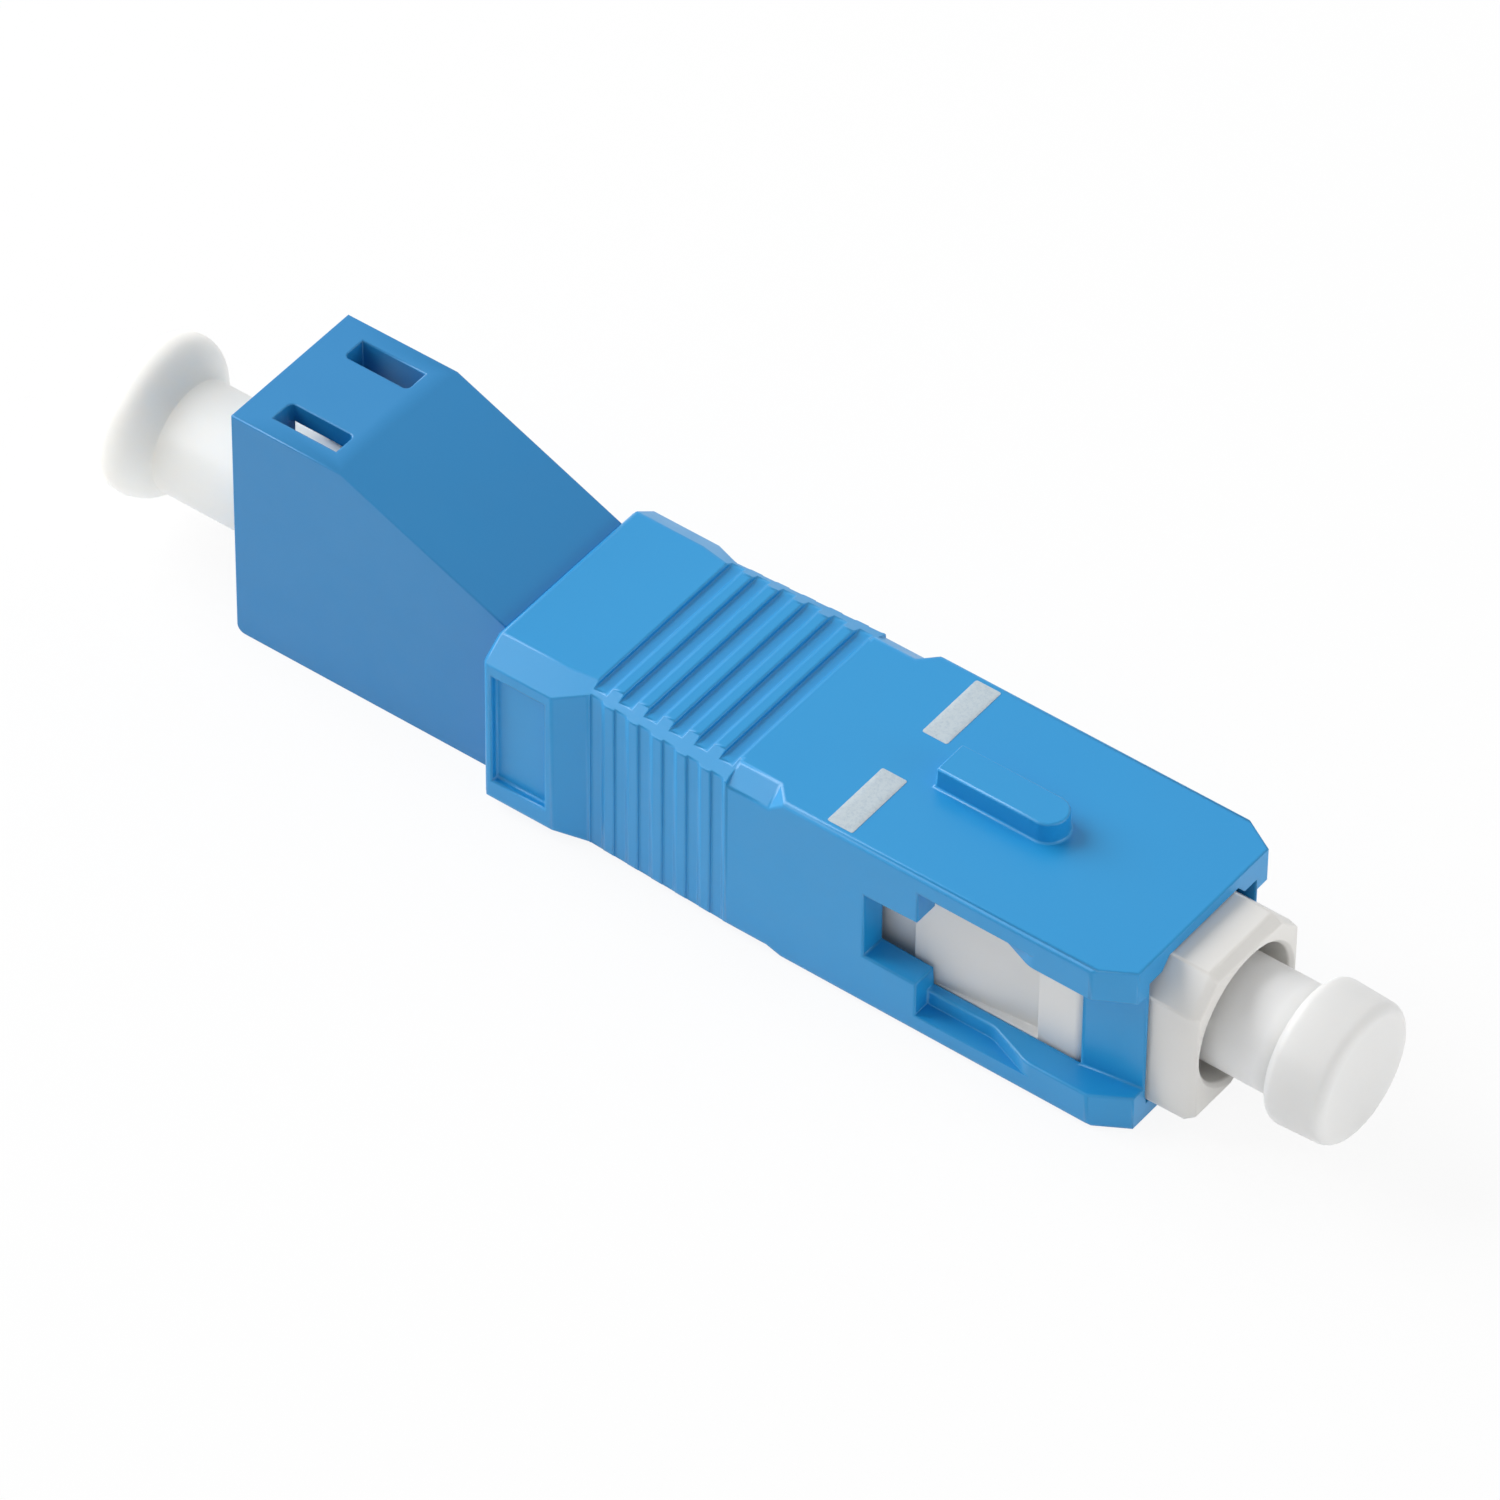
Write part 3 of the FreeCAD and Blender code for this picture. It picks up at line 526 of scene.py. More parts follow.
@dataclass(frozen=True)
class RoundedProfile:
    """A line of corners in mm, each rounded to an arc of its own radius."""

    corners: Sequence[tuple[float, float]]
    radii: Sequence[float]
    steps: int = 7

    def points(self) -> np.ndarray:
        """Works the rounded line out for all corners at once.

        At a corner with unit directions u and w to its neighbours and radius r, the arc
        starts and ends at t = r / tan(half the angle between u and w) from the corner, and
        its centre lies on the bisector at r / sin(half that angle). The arc's points are
        the centre plus the spherical blend of its first and last spokes.

        Returns:
            The points as an array of pairs.
        """
        corner = np.asarray(self.corners, float)
        radius = np.asarray(self.radii, float)[1:-1, None]
        here, back, ahead = corner[1:-1], corner[:-2], corner[2:]
        u = (back - here) / np.linalg.norm(back - here, axis=1, keepdims=True)
        w = (ahead - here) / np.linalg.norm(ahead - here, axis=1, keepdims=True)
        half = np.arccos(np.clip((u * w).sum(1, keepdims=True), -1, 1)) / 2
        reach = radius / np.tan(half)
        middle = (u + w) / np.linalg.norm(u + w, axis=1, keepdims=True)
        centre = here + middle * radius / np.sin(half)
        first, last = here + u * reach - centre, here + w * reach - centre
        sweep = math.pi - 2 * half[:, :, None]
        blend = np.linspace(0, 1, self.steps)[None, :, None]
        leaving = np.sin((1 - blend) * sweep) * first[:, None]
        arriving = np.sin(blend * sweep) * last[:, None]
        arcs = centre[:, None] + (leaving + arriving) / np.sin(sweep)
        return np.concatenate([corner[:1], arcs.reshape(-1, 2), corner[-1:]])


def surface(
    name: str, grid: np.ndarray, wrap: bool, sharp_from: float = 38.0
) -> bpy.types.Object:
    """Makes a mesh object of a grid of points in mm, in rows that run round the surface.

    Args:
        name: The object's name.
        grid: Points as an array of rows, columns and three coordinates.
        wrap: Whether each row closes on itself.
        sharp_from: The bend in degrees from which an edge is shaded sharp.

    Returns:
        The object, with doubled points merged and its faces pointing outwards.
    """
    rows, columns = grid.shape[:2]
    number = np.arange(rows * columns).reshape(rows, columns)
    across = np.roll(number, -1, axis=1) if wrap else number[:, 1:]
    near_side = number if wrap else number[:, :-1]
    quads = np.stack([near_side[:-1], across[:-1], across[1:], near_side[1:]], axis=-1)
    points = grid.reshape(-1, 3) * MM
    mesh = bpy.data.meshes.new(name)
    mesh.from_pydata(points.tolist(), [], quads.reshape(-1, 4).tolist())
    tidy = bmesh.new()
    tidy.from_mesh(mesh)
    bmesh.ops.remove_doubles(tidy, verts=tidy.verts, dist=WELD)
    bmesh.ops.dissolve_degenerate(tidy, edges=tidy.edges, dist=WELD / 10)
    bmesh.ops.recalc_face_normals(tidy, faces=tidy.faces)
    tidy.to_mesh(mesh)
    tidy.free()
    mesh.shade_smooth()
    mesh.set_sharp_from_angle(angle=math.radians(sharp_from))
    return new_object(name, mesh)


def turned_surface(
    name: str, profile: np.ndarray, centre_height: np.ndarray, around: int = 120
) -> bpy.types.Object:
    """Makes a turned surface whose circles may sit at different heights.

    A point is (x, r cos a, c + r sin a), where x and r run along the profile, c is the
    height of that circle's centre, and a runs once round.

    Args:
        name: The object's name.
        profile: Pairs of x and radius in mm, from pole to pole.
        centre_height: The height of each circle's centre in mm.
        around: How many points a circle has.

    Returns:
        The object.
    """
    turn = np.linspace(0, 2 * math.pi, around, endpoint=False)
    x = np.broadcast_to(profile[:, :1], (len(profile), around))
    y = profile[:, 1:] * np.cos(turn)
    z = centre_height[:, None] + profile[:, 1:] * np.sin(turn)
    return surface(name, np.stack([x, y, z], axis=-1), wrap=True)


@dataclass
class SoftenedMoulding:
    """A moulding's own shape with real rounded edges, as a polished tool leaves them.

    An edge is sharp from a bend of sharp_from degrees, and also where two long flats meet
    at a slight bend over at least crease_mm. Below flat_to degrees two faces are one.
    Every face of the moulding is drawn in from its sharp edges by the edge width, and each
    old edge moves onto the ball that touches the faces beside it. Two strips join it to
    them, shaded round. The last fields hold the shape together in tight places: the share
    of a narrow strip that its edges may take, how far two edges that face each other may
    be out of line, and how far the points of a very pointed corner may travel.
    """

    node: str
    name: str
    edge_mm: float
    crease_mm: float = math.inf
    sharp_from: float = 26.0
    slight_bend: tuple[float, float] = (1.0, 6.0)
    flat_to: float = 3.0
    merge_mm: float = 0.002
    strip_share: float = 0.42
    facing_cosine: float = -0.2
    least_spread: float = 0.4
    most_reach: float = 2.2
    damping: float = 1e-4

    def _merged(self) -> bpy.types.Mesh:
        """Copies the node's mesh, joins its loose triangles and clears its flat faces.

        Returns:
            The clean mesh.
        """
        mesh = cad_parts[self.node].data.copy()
        tidy = bmesh.new()
        tidy.from_mesh(mesh)
        bmesh.ops.remove_doubles(tidy, verts=tidy.verts, dist=self.merge_mm * MM)
        bmesh.ops.dissolve_limit(
            tidy,
            angle_limit=math.radians(self.flat_to),
            verts=tidy.verts,
            edges=tidy.edges,
        )
        tidy.to_mesh(mesh)
        tidy.free()
        return mesh

    def _read(self, mesh: bpy.types.Mesh) -> None:
        """Reads the mesh into arrays with one row for each corner of each face.

        A corner stands for the edge that starts there: ahead is the face's next corner,
        twin the same edge's corner in the face beside, inward the direction in the face
        away from the edge, and side 1 for an edge that stands out and -1 for one that
        turns in.

        Args:
            mesh: The clean mesh, closed and with its faces pointing outwards.
        """
        corners, faces = len(mesh.loops), len(mesh.polygons)
        self.start, total = np.zeros(faces, int), np.zeros(faces, int)
        self.point, edge = np.zeros(corners, int), np.zeros(corners, int)
        place, normal = np.zeros(len(mesh.vertices) * 3), np.zeros(faces * 3)
        area = np.zeros(faces)
        mesh.polygons.foreach_get("loop_start", self.start)
        mesh.polygons.foreach_get("loop_total", total)
        mesh.polygons.foreach_get("normal", normal)
        mesh.polygons.foreach_get("area", area)
        mesh.loops.foreach_get("vertex_index", self.point)
        mesh.loops.foreach_get("edge_index", edge)
        mesh.vertices.foreach_get("co", place)
        self.place = place.reshape(-1, 3)
        self.face = np.repeat(np.arange(faces), total)
        self.normal = normal.reshape(-1, 3)[self.face]
        self.area = area[self.face]
        self.ahead = np.arange(corners) + 1
        self.ahead[self.start + total - 1] = self.start
        pairs = np.argsort(edge, kind="stable").reshape(-1, 2)
        self.twin = np.zeros(corners, int)
        self.twin[pairs] = pairs[:, ::-1]
        along = self.place[self.point[self.ahead]] - self.place[self.point]
        length = np.linalg.norm(along, axis=1)
        self.inward = np.cross(self.normal, along / length[:, None])
        beside = self.normal[self.twin]
        bend = np.degrees(np.arccos(np.clip((self.normal * beside).sum(1), -1, 1)))
        slight = (bend > self.slight_bend[0]) & (bend < self.slight_bend[1])
        self.sharp = (bend > self.sharp_from) | (slight & (length > self.crease_mm * MM))
        self.side = np.where((beside * self.inward).sum(1) < 0, 1.0, -1.0)

    @staticmethod
    def _joined(count: int, one: np.ndarray, other: np.ndarray) -> np.ndarray:
        """Groups things that are joined in pairs.

        Args:
            count: How many things there are.
            one: The first thing of each pair.
            other: The second thing of each pair.

        Returns:
            The group of each thing, counted from 0.
        """
        group = np.arange(count)
        while (group[one] != group[other]).any():
            least = np.minimum(group[one], group[other])
            np.minimum.at(group, one, least)
            np.minimum.at(group, other, least)
            group = group[group]
        return np.unique(group, return_inverse=True)[1]

    def _widths(self, region: np.ndarray) -> np.ndarray:
        """Works out how far each region of faces can be drawn in.

        That is the edge width, or strip_share of the narrowest strip between two sharp
        edges of the region that face each other, where that is less.

        Args:
            region: The region of each corner.

        Returns:
            One width for each region, in metres.
        """
        width = np.full(region.max() + 1, self.edge_mm * MM)
        for number in range(len(width)):
            mine = np.flatnonzero(self.sharp & (region == number))
            first, last = (self.place[self.point[at]] for at in (mine, self.ahead[mine]))
            inward, run = self.inward[mine], last - first
            probe, look = np.concatenate([first, last]), np.concatenate([inward, inward])
            gap = probe[:, None] - first
            share = np.clip((gap * run).sum(2) / (run * run).sum(1), 0, 1)
            gap = share[:, :, None] * run - gap
            clear = (gap * look[:, None]).sum(2)
            facing = (look @ inward.T < self.facing_cosine) & (clear > WELD)
            strips = np.linalg.norm(gap, axis=2)[facing]
            width[number] = min([width[number], *(self.strip_share * strips)])
        return width

    def build(self) -> bpy.types.Object:
        """Makes the rounded copy, which stands for the node.

        A corner of a region between edges with inward directions a and b moves by
        w (a + b) / (1 + a . b). An old vertex among regions with normals n moves by
        s w q (1 / |q| - 1), where n . q = 1 for each n and s is 1 where its edges stand
        out and -1 where they turn in.

        Returns:
            The object.
        """
        self._read(self._merged())
        corners, points = len(self.point), len(self.place)
        # A region is the faces with no sharp edge between them, and a sector its corners
        # about one vertex: that vertex is split into one point for each sector
        flat = np.flatnonzero(~self.sharp)
        sharp = np.flatnonzero(self.sharp)
        sector = self._joined(corners, flat, self.ahead[self.twin[flat]])
        beside = self.face[self.twin[flat]]
        region = self._joined(self.face[-1] + 1, self.face[flat], beside)[self.face]
        sectors = sector.max() + 1
        width, owner = np.zeros(sectors), np.zeros(sectors, int)
        width[sector] = self._widths(region)[region]
        owner[sector] = self.point
        edges = np.bincount(self.point[sharp], minlength=points)
        split = edges[owner] >= 2
        number = np.where(split, points + np.cumsum(split) - 1, owner)
        target = number[sector]

        # Where each sector's point goes, and its normal
        after, before = np.zeros((sectors, 3)), np.zeros((sectors, 3))
        after[sector[sharp]] = self.inward[sharp]
        before[sector[self.ahead[sharp]]] = self.inward[sharp]
        spread = np.maximum(1 + (after * before).sum(1), self.least_spread)[:, None]
        inset = self.place[owner] + width[:, None] * (after + before) / spread
        normal = np.zeros((sectors, 3))
        np.add.at(normal, sector, self.normal * self.area[:, None])
        normal /= np.linalg.norm(normal, axis=1, keepdims=True)

        # Where each old vertex goes: onto the ball, by least squares over its normals
        least = np.full(points, self.edge_mm * MM)
        np.minimum.at(least, owner, width)
        total = np.zeros((points, 3))
        square = np.tile(np.eye(3) * self.damping, (points, 1, 1))
        np.add.at(total, owner, normal)
        np.add.at(square, owner, normal[:, :, None] * normal[:, None])
        q = np.linalg.solve(square, total[:, :, None])[:, :, 0]
        size = np.linalg.norm(q, axis=1, keepdims=True)
        side = np.zeros(points)
        np.add.at(side, self.point[sharp], self.side[sharp])
        reach = least * side / np.maximum(edges, 1) * (edges >= 2)
        travel = 1 - np.minimum(size, self.most_reach)
        moved = self.place + reach[:, None] * q / size * travel

        # The faces on their new points, and two strips along each sharp edge
        place = np.concatenate([moved, inset[split]])
        normals = np.concatenate([q / size, normal[split]])
        one = sharp[sharp < self.twin[sharp]]
        two = self.twin[one]
        v, u = self.point[one], self.point[two]
        strips = [
            np.stack([target[self.ahead[one]], target[one], v, u], axis=1),
            np.stack([target[self.ahead[two]], target[two], u, v], axis=1),
        ]
        faces = [face.tolist() for face in np.split(target, self.start[1:])]
        faces += [list(dict.fromkeys(strip)) for strip in np.concatenate(strips).tolist()]
        mesh = bpy.data.meshes.new(self.name)
        mesh.from_pydata(place.tolist(), [], [face for face in faces if len(face) > 2])
        mesh.shade_smooth()
        mesh.normals_split_custom_set_from_vertices(normals.tolist())
        copy = new_object(self.name, mesh)
        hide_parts(self.node)
        return copy


def finish_piece(
    piece: bpy.types.Object,
    material: bpy.types.Material,
    body: Body,
) -> None:
    """Gives a piece its material and body.

    Args:
        piece: The object.
        material: Its finish.
        body: The body that it rides on.
    """
    dress(piece, material)
    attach(piece, body.value)
    LOG.info("%s: %d faces, on %s", piece.name, len(piece.data.polygons), body.value)


# ---- Sub-assemblies ----


@dataclass
class GripShell:
    """The sliding outer grip with its finger grooves, key, windows and printed marks."""

    edge_mm: float = 0.11
    crease_mm: float = 2.5
    top: float = AXIS_HEIGHT + 3.7
    mark_start: float = GRIP_REAR + 14.24
    mark_length: float = 1.05
    mark_inner: float = 1.1
    mark_outer: float = 4.2
    mark_corner: float = 0.08
    mark_thickness: float = 0.018
    mark_points: int = 48
    # Shares of the outline and of the thickness, from the middle out and back again
    rim_share: Sequence[float] = (0.0, 0.5, 0.985, 0.996, 1.0, 1.0, 0.0)
    rim_height: Sequence[float] = (1.0, 1.0, 1.0, 0.85, 0.5, -0.4, -0.4)
    # PBT: satin, strong cyan-leaning blue, moulded
    polymer: MouldedPolymer = MouldedPolymer(
        "PBT_moulded_bright_blue", "1993D2", "1D95D3", roughness=0.36, ior=1.54
    )
    # Pad-printed ink: matte pale grey, a little thin in places
    ink: PadPrint = PadPrint("ink_pad_printed_grey", "C1CDD4", "AFBFCB")

    def _mark(self, side: int) -> bpy.types.Object:
        """Makes one printed mark on the top face.

        Its outline is a rounded rectangle, the sum of a box and a small circle. The
        surface runs from the middle out to the outline, over a rounded rim, down into
        the grip, and back to the middle underneath.

        Args:
            side: 1 or -1, for the mark's side of the key.

        Returns:
            The object.
        """
        count = self.mark_points
        turn = np.linspace(0, 2 * math.pi, count, endpoint=False) + math.pi / count
        half = np.array([self.mark_length, self.mark_outer - self.mark_inner]) / 2
        spoke = np.stack([np.cos(turn), np.sin(turn)], axis=-1)
        outline = np.sign(spoke) * (half - self.mark_corner) + self.mark_corner * spoke
        share = np.array(self.rim_share)[:, None, None]
        height = np.array(self.rim_height) * self.mark_thickness
        middle_y = side * (self.mark_inner + self.mark_outer) / 2
        flat = share * outline + [self.mark_start + self.mark_length / 2, middle_y]
        rise = np.broadcast_to(self.top + height[:, None, None], (*flat.shape[:2], 1))
        name = "print_mark_left" if side > 0 else "print_mark_right"
        return surface(name, np.concatenate([flat, rise], axis=-1), wrap=True)

    def build(self) -> None:
        """Builds the grip and its marks."""
        shell = SoftenedMoulding(
            "sc_outer_housing", "grip_shell", self.edge_mm, self.crease_mm
        ).build()
        finish_piece(shell, self.polymer.build(), Body.GRIP)
        ink = self.ink.build()
        for side in (1, -1):
            finish_piece(self._mark(side), ink, Body.GRIP)


@dataclass
class PortBlock:
    """The port block with its sloping back and two catch windows."""

    edge_mm: float = 0.07
    # ABS: satin, slightly deeper blue, moulded
    polymer: MouldedPolymer = MouldedPolymer(
        "ABS_moulded_deep_blue", "1C82BF", "1F84C0", roughness=0.4, ior=1.53
    )

    def build(self) -> None:
        """Builds the block."""
        block = SoftenedMoulding("lc_housing", "port_block", self.edge_mm).build()
        finish_piece(block, self.polymer.build(), Body.ADAPTER)


@dataclass
class PlugFrame:
    """The white inner frame, seen at the nose and through the grip's side windows."""

    edge_mm: float = 0.1
    # PBT, natural: off-white, satin, lets a little light in
    polymer: MouldedPolymer = MouldedPolymer(
        "PBT_moulded_off_white",
        "ECEAE6",
        "E9E7E3",
        roughness=0.4,
        ior=1.54,
        scatter_weight=0.15,
        scatter_depth_mm=0.3,
    )

    def build(self) -> None:
        """Builds the frame."""
        inner = SoftenedMoulding("sc_plug_frame", "plug_frame", self.edge_mm).build()
        finish_piece(inner, self.polymer.build(), Body.ADAPTER)


@dataclass
class PortDustPlug:
    """The port's dust plug: a round shaft, a flare and a wide soft-edged head."""

    tip: float = GRIP_REAR - 6.61
    head_rear: float = GRIP_REAR - 18.68
    rim: float = GRIP_REAR - 17.35
    crease: float = GRIP_REAR - 16.5
    head_radius: float = 3.11
    head_rise: float = 0.76
    shaft_radius: float = 2.19
    shaft_rise: float = 0.45
    pocket_radius: float = 1.42
    pocket_end: float = GRIP_REAR - 9.8
    tip_steps: tuple[float, float] = (0.3, 0.1)
    outside_rounding: Sequence[float] = (0, 0.82, 1.1, 0.04, 0.25, 0)
    pocket_rounding: Sequence[float] = (0, 0.05, 0.2, 0)
    # Polyethylene: soft white, waxy, moulded
    polymer: MouldedPolymer = MouldedPolymer(
        "polyethylene_moulded_white",
        "FAF6F1",
        "F8F4EF",
        roughness=0.38,
        scatter_weight=0.85,
        scatter_depth_mm=1.4,
    )

    def build(self) -> None:
        """Builds the plug: head, shaft and pocket each lie round an axis of their own."""
        outside = RoundedProfile(
            [
                (self.head_rear, 0.0),
                (self.head_rear, self.head_radius),
                (self.rim, self.head_radius),
                (self.crease, self.shaft_radius),
                (self.tip, self.shaft_radius),
                (self.tip, self.pocket_radius + self.tip_steps[0]),
            ],
            self.outside_rounding,
        ).points()
        inside = RoundedProfile(
            [
                (self.tip, self.pocket_radius + self.tip_steps[1]),
                (self.tip, self.pocket_radius),
                (self.pocket_end, self.pocket_radius),
                (self.pocket_end, 0.0),
            ],
            self.pocket_rounding,
        ).points()
        places, rises = (self.rim, self.crease), (self.head_rise, self.shaft_rise)
        outside_rise = np.interp(outside[:, 0], places, rises)
        rise = np.concatenate([outside_rise, np.zeros(len(inside))])
        plug = turned_surface(
            "port_dust_plug", np.concatenate([outside, inside]), AXIS_HEIGHT + rise
        )
        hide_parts("lc_dust_plug")
        finish_piece(plug, self.polymer.build(), Body.PORT_PLUG)


@dataclass
class FerruleDustCap:
    """The cap over the large ferrule: a thin tube and a thick rounded head."""

    rear: float = GRIP_REAR + 22.5
    head_rear: float = GRIP_REAR + 31.0
    front: float = GRIP_REAR + 33.4
    tube_radius: float = 2.06
    bore_radius: float = 1.3
    bore_end: float = GRIP_REAR + 31.3
    head_radius: float = 2.74
    head_taper: float = 0.1
    rounding: Sequence[float] = (0, 0.45, 0.42, 0.12, 0.3, 0.1, 0.3, 0)
    # Polyethylene, unfilled: cloudy, lets light through, moulded
    polymer: MouldedPolymer = MouldedPolymer(
        "polyethylene_moulded_cloudy",
        "FCFCFB",
        "E5E5E4",
        roughness=0.42,
        scatter_weight=0.6,
        scatter_depth_mm=1.0,
        # The tube is painted lighter up to this span, as light shining through it, and the
        # head painted darker
        painted_through_light_mm=(GRIP_REAR + 30.2, GRIP_REAR + 31.0),
    )

    def build(self) -> None:
        """Builds the cap from its closed head, round the rim and into the bore."""
        outline = RoundedProfile(
            [
                (self.front, 0.0),
                (self.front, self.head_radius - self.head_taper),
                (self.head_rear, self.head_radius),
                (self.head_rear, self.tube_radius),
                (self.rear, self.tube_radius),
                (self.rear, self.bore_radius),
                (self.bore_end, self.bore_radius),
                (self.bore_end, 0.0),
            ],
            self.rounding,
        ).points()
        height = np.full(len(outline), AXIS_HEIGHT)
        cap = turned_surface("ferrule_dust_cap", outline, height)
        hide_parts("sc_dust_cap")
        finish_piece(cap, self.polymer.build(), Body.CAP)


@dataclass
class OpticalCore:
    """The ferrules, flange, fibre, spring, holder and sleeve inside the adapter."""

    finishes: Mapping[str, Any] = field(
        default_factory=lambda: {
            # Nickel-plated brass: warm grey, turned
            "ferrule_flange": TurnedMetal(
                "brass_nickel_plated", "C9C4BA", "B3AEA4", roughness=0.24
            ),
            # Zirconia: dense white, ground
            "sc_ferrule": FiredCeramic("zirconia_ground_large", "F4F2EC", "ECEBE6"),
            "lc_ferrule": FiredCeramic("zirconia_ground_small", "F4F2EC", "ECEBE6"),
            "lc_split_sleeve": FiredCeramic(
                "zirconia_ground_sleeve", "F0EEE6", "E7E5DD", roughness=0.22
            ),
            # Silica: clear, drawn
            "fibre_stub": DrawnGlass("silica_drawn", "EEF6FA", "DCEBF2"),
            # PBT, natural: off-white, satin
            "lc_sleeve_holder": MouldedPolymer(
                "PBT_moulded_natural", "E8E7E2", "E5E3DE", scatter_weight=0.3
            ),
        }
    )

    # Stainless spring wire: grey, drawn
    wire: TurnedMetal = TurnedMetal(
        "stainless_drawn_wire", "B9BABC", "9C9DA0", roughness=0.3, line_mm=0.05
    )
    spring_ends: tuple[float, float] = (GRIP_REAR + 9.55, GRIP_REAR + 17.15)

    def build(self) -> None:
        """Dresses the inner nodes, and makes a copy of the spring in a wire finish."""
        for node, finish in self.finishes.items():
            dress(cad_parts[node], finish.build())
            LOG.info("%s: %s", node, finish.name)
        spring = new_object("coil_spring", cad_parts["ferrule_spring"].data.copy())
        dress(spring, self.wire.build())
        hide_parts("ferrule_spring")
        seats = ((x * MM, 0.0, AXIS_HEIGHT * MM) for x in self.spring_ends)
        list(seats)
        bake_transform(spring)
        LOG.info("%s: %s", spring.name, self.wire.name)


# ---- Studio ----


@dataclass(frozen=True)
class Softbox:
    """A square area lamp that looks at the adapter."""

    name: str
    direction: tuple[float, float, float]
    level: float
    size: float
    distance: float = 0.5
    gloss_only: bool = False

    def build(self, target: Vector) -> None:
        """Hangs the lamp.

        A level of 1 lights a face square to the lamp so that its colour renders as
        written: the power is that level times the square of pi times the distance.

        Args:
            target: The point that it looks at.
        """
        lamp = bpy.data.lights.new(self.name, "AREA")
        lamp.size = self.size
        lamp.energy = self.level * (math.pi * self.distance) ** 2
        holder = new_object(self.name, lamp)
        towards = Vector(self.direction).normalized()
        turn = towards.to_track_quat("Z", "Y").to_matrix().to_4x4()
        holder.matrix_world = Matrix.Translation(target + towards * self.distance) @ turn
        holder.visible_diffuse = not self.gloss_only


def seen_by_eye(tree: bpy.types.NodeTree) -> bpy.types.NodeSocket:
    """Gives 1 for rays from the camera, off gloss or through clear matter, else 0.

    Args:
        tree: The node tree to add the nodes to.

    Returns:
        The socket.
    """
    ray = add(tree, "LightPath").outputs
    first = add(
        tree,
        "Math",
        {"operation": "MAXIMUM"},
        {0: ray["Is Camera Ray"], 1: ray["Is Transmission Ray"]},
    )
    both = add(
        tree,
        "Math",
        {"operation": "MAXIMUM"},
        {0: first.outputs["Value"], 1: ray["Is Glossy Ray"]},
    )
    return both.outputs["Value"]


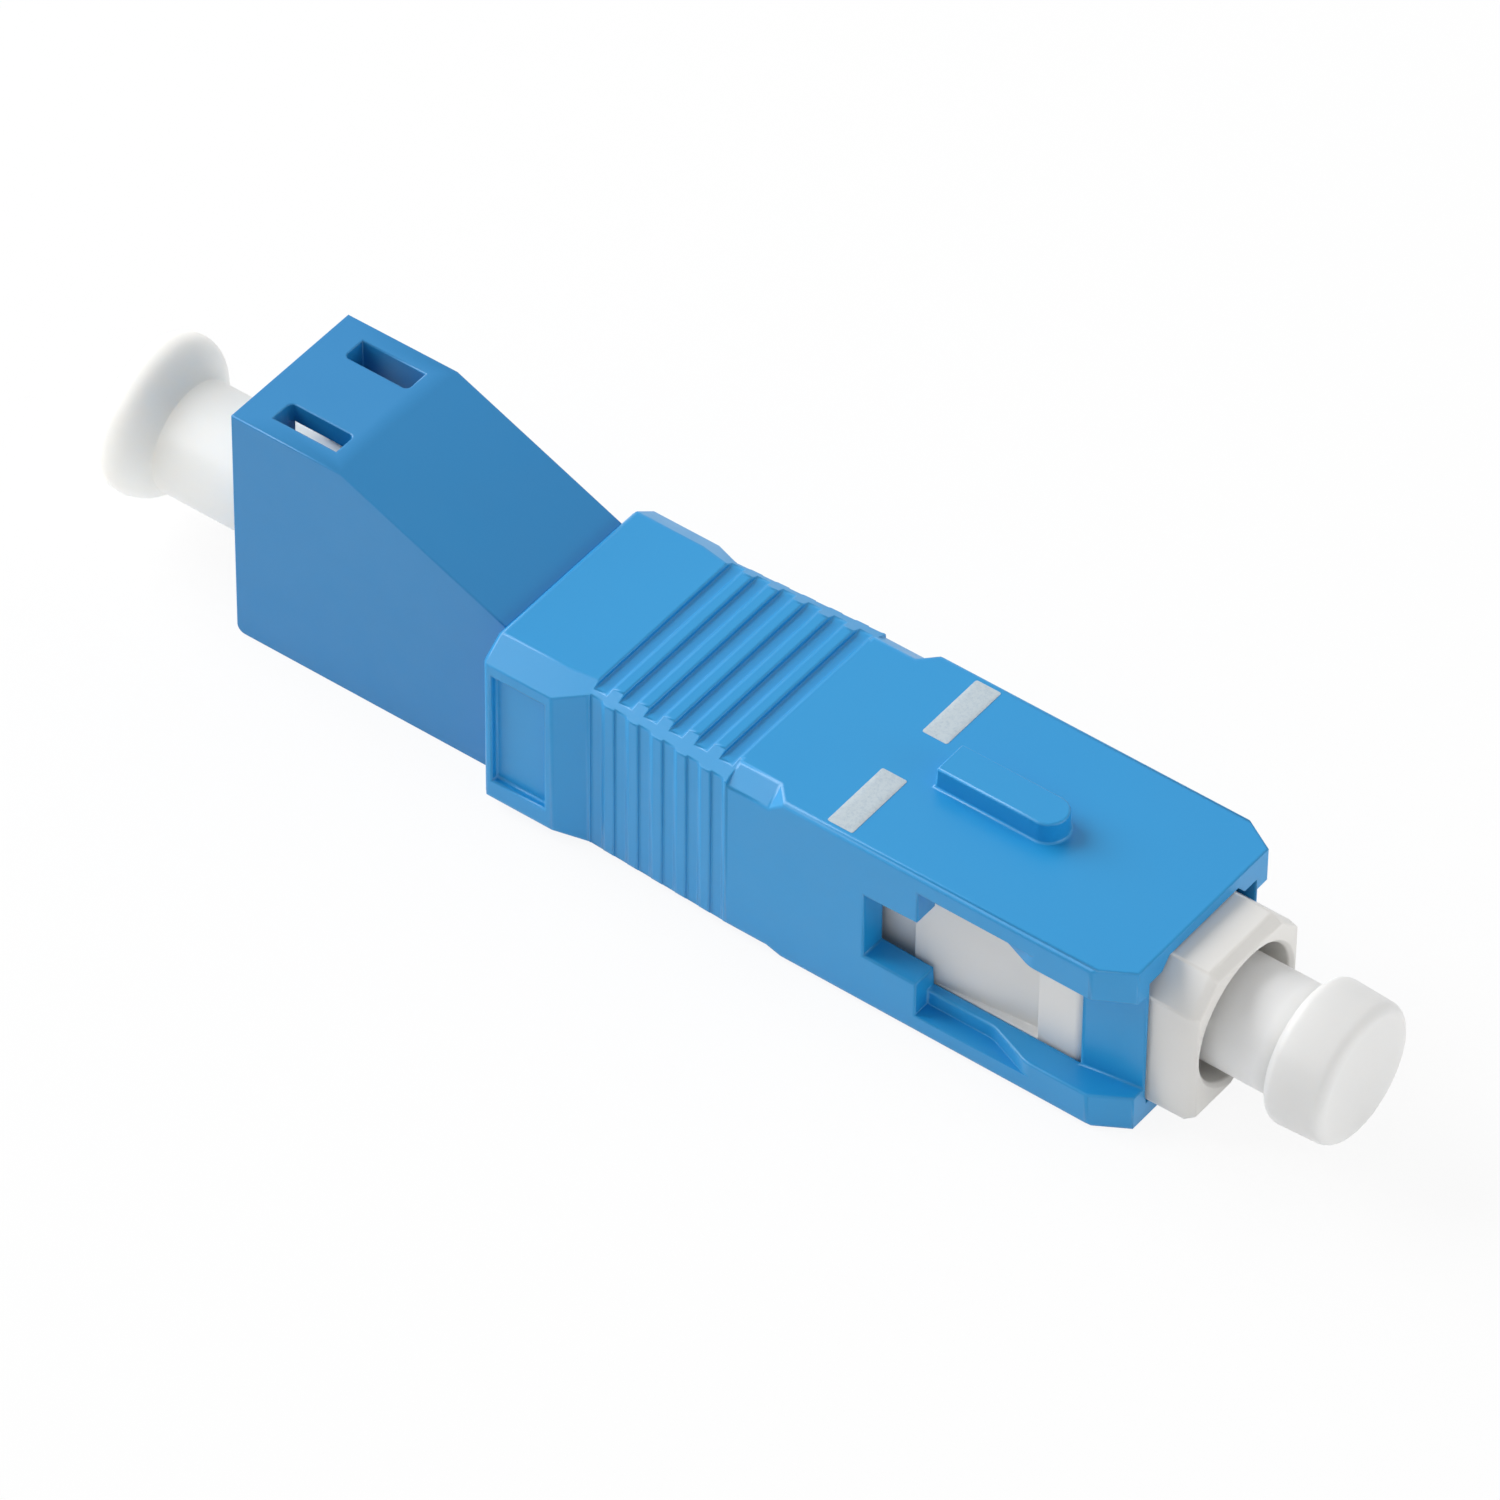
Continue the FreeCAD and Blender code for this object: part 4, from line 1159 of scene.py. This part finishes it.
@dataclass
class Studio:
    """A white table, soft lamps and the camera at the photograph's angle.

    The camera's angles are in degrees, and its focal length is in pixels of the frame.
    """

    azimuth: float = 36.724
    elevation: float = 44.783
    roll: float = 0.61
    distance_mm: float = 407.5
    focal_px: float = 11993.6
    image_px: float = 1500.0
    target_mm: tuple[float, float, float] = (0.514, 0.0, 3.644)
    sensor_mm: float = 36.0
    clip_mm: tuple[float, float] = (20.0, 10000.0)
    table_half_mm: float = 900.0
    table_columns: int = 9
    # Real paper grain is about 0.2 mm: drawn coarser, so that it shows
    paper_grain_mm: float = 1.2
    ambient: float = 0.42
    floor_glow: float = 0.9
    lamps: Sequence[Softbox] = (
        Softbox("softbox_key", (-0.9, -0.12, 0.62), 1.13, 0.4),
        Softbox("softbox_front", (0.95, 0.1, 0.1), 0.48, 0.4),
        Softbox("strip_near_edges", (-0.42, -0.69, 0.56), 0.16, 0.2, gloss_only=True),
    )

    def camera(self) -> None:
        """Sets the camera up.

        Its back axis is (sin a cos e, -cos a cos e, sin e) for azimuth a and elevation e;
        right and up are turned about it by the roll.
        """
        angles = (self.azimuth, self.elevation, self.roll)
        a, e, r = (math.radians(angle) for angle in angles)
        flat = math.cos(e)
        back = Vector((math.sin(a) * flat, -math.cos(a) * flat, math.sin(e)))
        right = Vector((math.cos(a), math.sin(a), 0.0))
        up = back.cross(right)
        side = right * math.cos(r) + up * math.sin(r)
        head = up * math.cos(r) - right * math.sin(r)
        lens = bpy.data.cameras.new("camera")
        lens.sensor_width = self.sensor_mm
        lens.lens = self.focal_px / self.image_px * self.sensor_mm
        lens.clip_start, lens.clip_end = (reach * MM for reach in self.clip_mm)
        place = (Vector(self.target_mm) + back * self.distance_mm) * MM
        axes = Matrix((side, head, back)).transposed().to_4x4()
        holder = new_object("camera", lens)
        holder.matrix_world = Matrix.Translation(place) @ axes
        bpy.context.scene.camera = holder

    def world(self) -> None:
        """Lights the scene softly all round, and shows white to the eye and to gloss."""
        world = bpy.data.worlds.new("studio_white")
        world.use_nodes = True
        tree = world.node_tree
        tree.nodes.clear()
        strength = add(
            tree,
            "MapRange",
            {"To Min": self.ambient, "To Max": 1.0},
            {"Value": seen_by_eye(tree)},
        )
        sky = add(
            tree,
            "Background",
            {"Color": WHITE},
            {"Strength": strength.outputs["Result"]},
        )
        add(tree, "OutputWorld", None, {"Surface": sky.outputs["Background"]})
        bpy.context.scene.world = world

    def floor(self) -> None:
        """Lays a white table whose shadow stays faint where the camera sees it."""
        span = np.linspace(-1, 1, self.table_columns) * self.table_half_mm
        x, y = np.meshgrid(span, span, indexing="ij")
        table = surface("table", np.stack([x, y, np.zeros_like(x)], axis=-1), wrap=False)
        # Paper: matte, plain white
        material, tree, place = new_material("paper_matte_white")
        grain = add(
            tree,
            "TexNoise",
            {"Scale": per_mm(self.paper_grain_mm), "Detail": 2.0},
            {"Vector": place},
        )
        tone = add(
            tree,
            "ValToRGB",
            {"ramp": [(0.3, "FDFDFD"), (0.7, "FFFFFF")]},
            {"Fac": grain.outputs["Fac"]},
        )
        paper = add(
            tree, "BsdfDiffuse", {"Roughness": 0.4}, {"Color": tone.outputs["Color"]}
        )
        glow = add(tree, "Emission", {"Color": WHITE, "Strength": 1.0})
        share = add(
            tree, "MapRange", {"To Max": self.floor_glow}, {"Value": seen_by_eye(tree)}
        )
        mixed = add(
            tree,
            "MixShader",
            None,
            {
                0: share.outputs["Result"],
                1: paper.outputs["BSDF"],
                2: glow.outputs["Emission"],
            },
        )
        add(tree, "OutputMaterial", None, {"Surface": mixed.outputs["Shader"]})
        dress(table, material)

    def build(self) -> None:
        """Builds the camera, the light and the table."""
        self.camera()
        self.world()
        self.floor()
        target = Vector(self.target_mm) * MM
        for lamp in self.lamps:
            lamp.build(target)
        bpy.context.scene.view_settings.view_transform = "Standard"
        LOG.info("studio: %d lamps", len(self.lamps))


def main() -> None:
    """Builds the studio and every sub-assembly."""
    logging.basicConfig(level=logging.INFO, format="%(name)s: %(message)s")
    Studio().build()
    GripShell().build()
    PortBlock().build()
    PlugFrame().build()
    PortDustPlug().build()
    FerruleDustCap().build()
    OpticalCore().build()


if __name__ == "__main__":
    main()
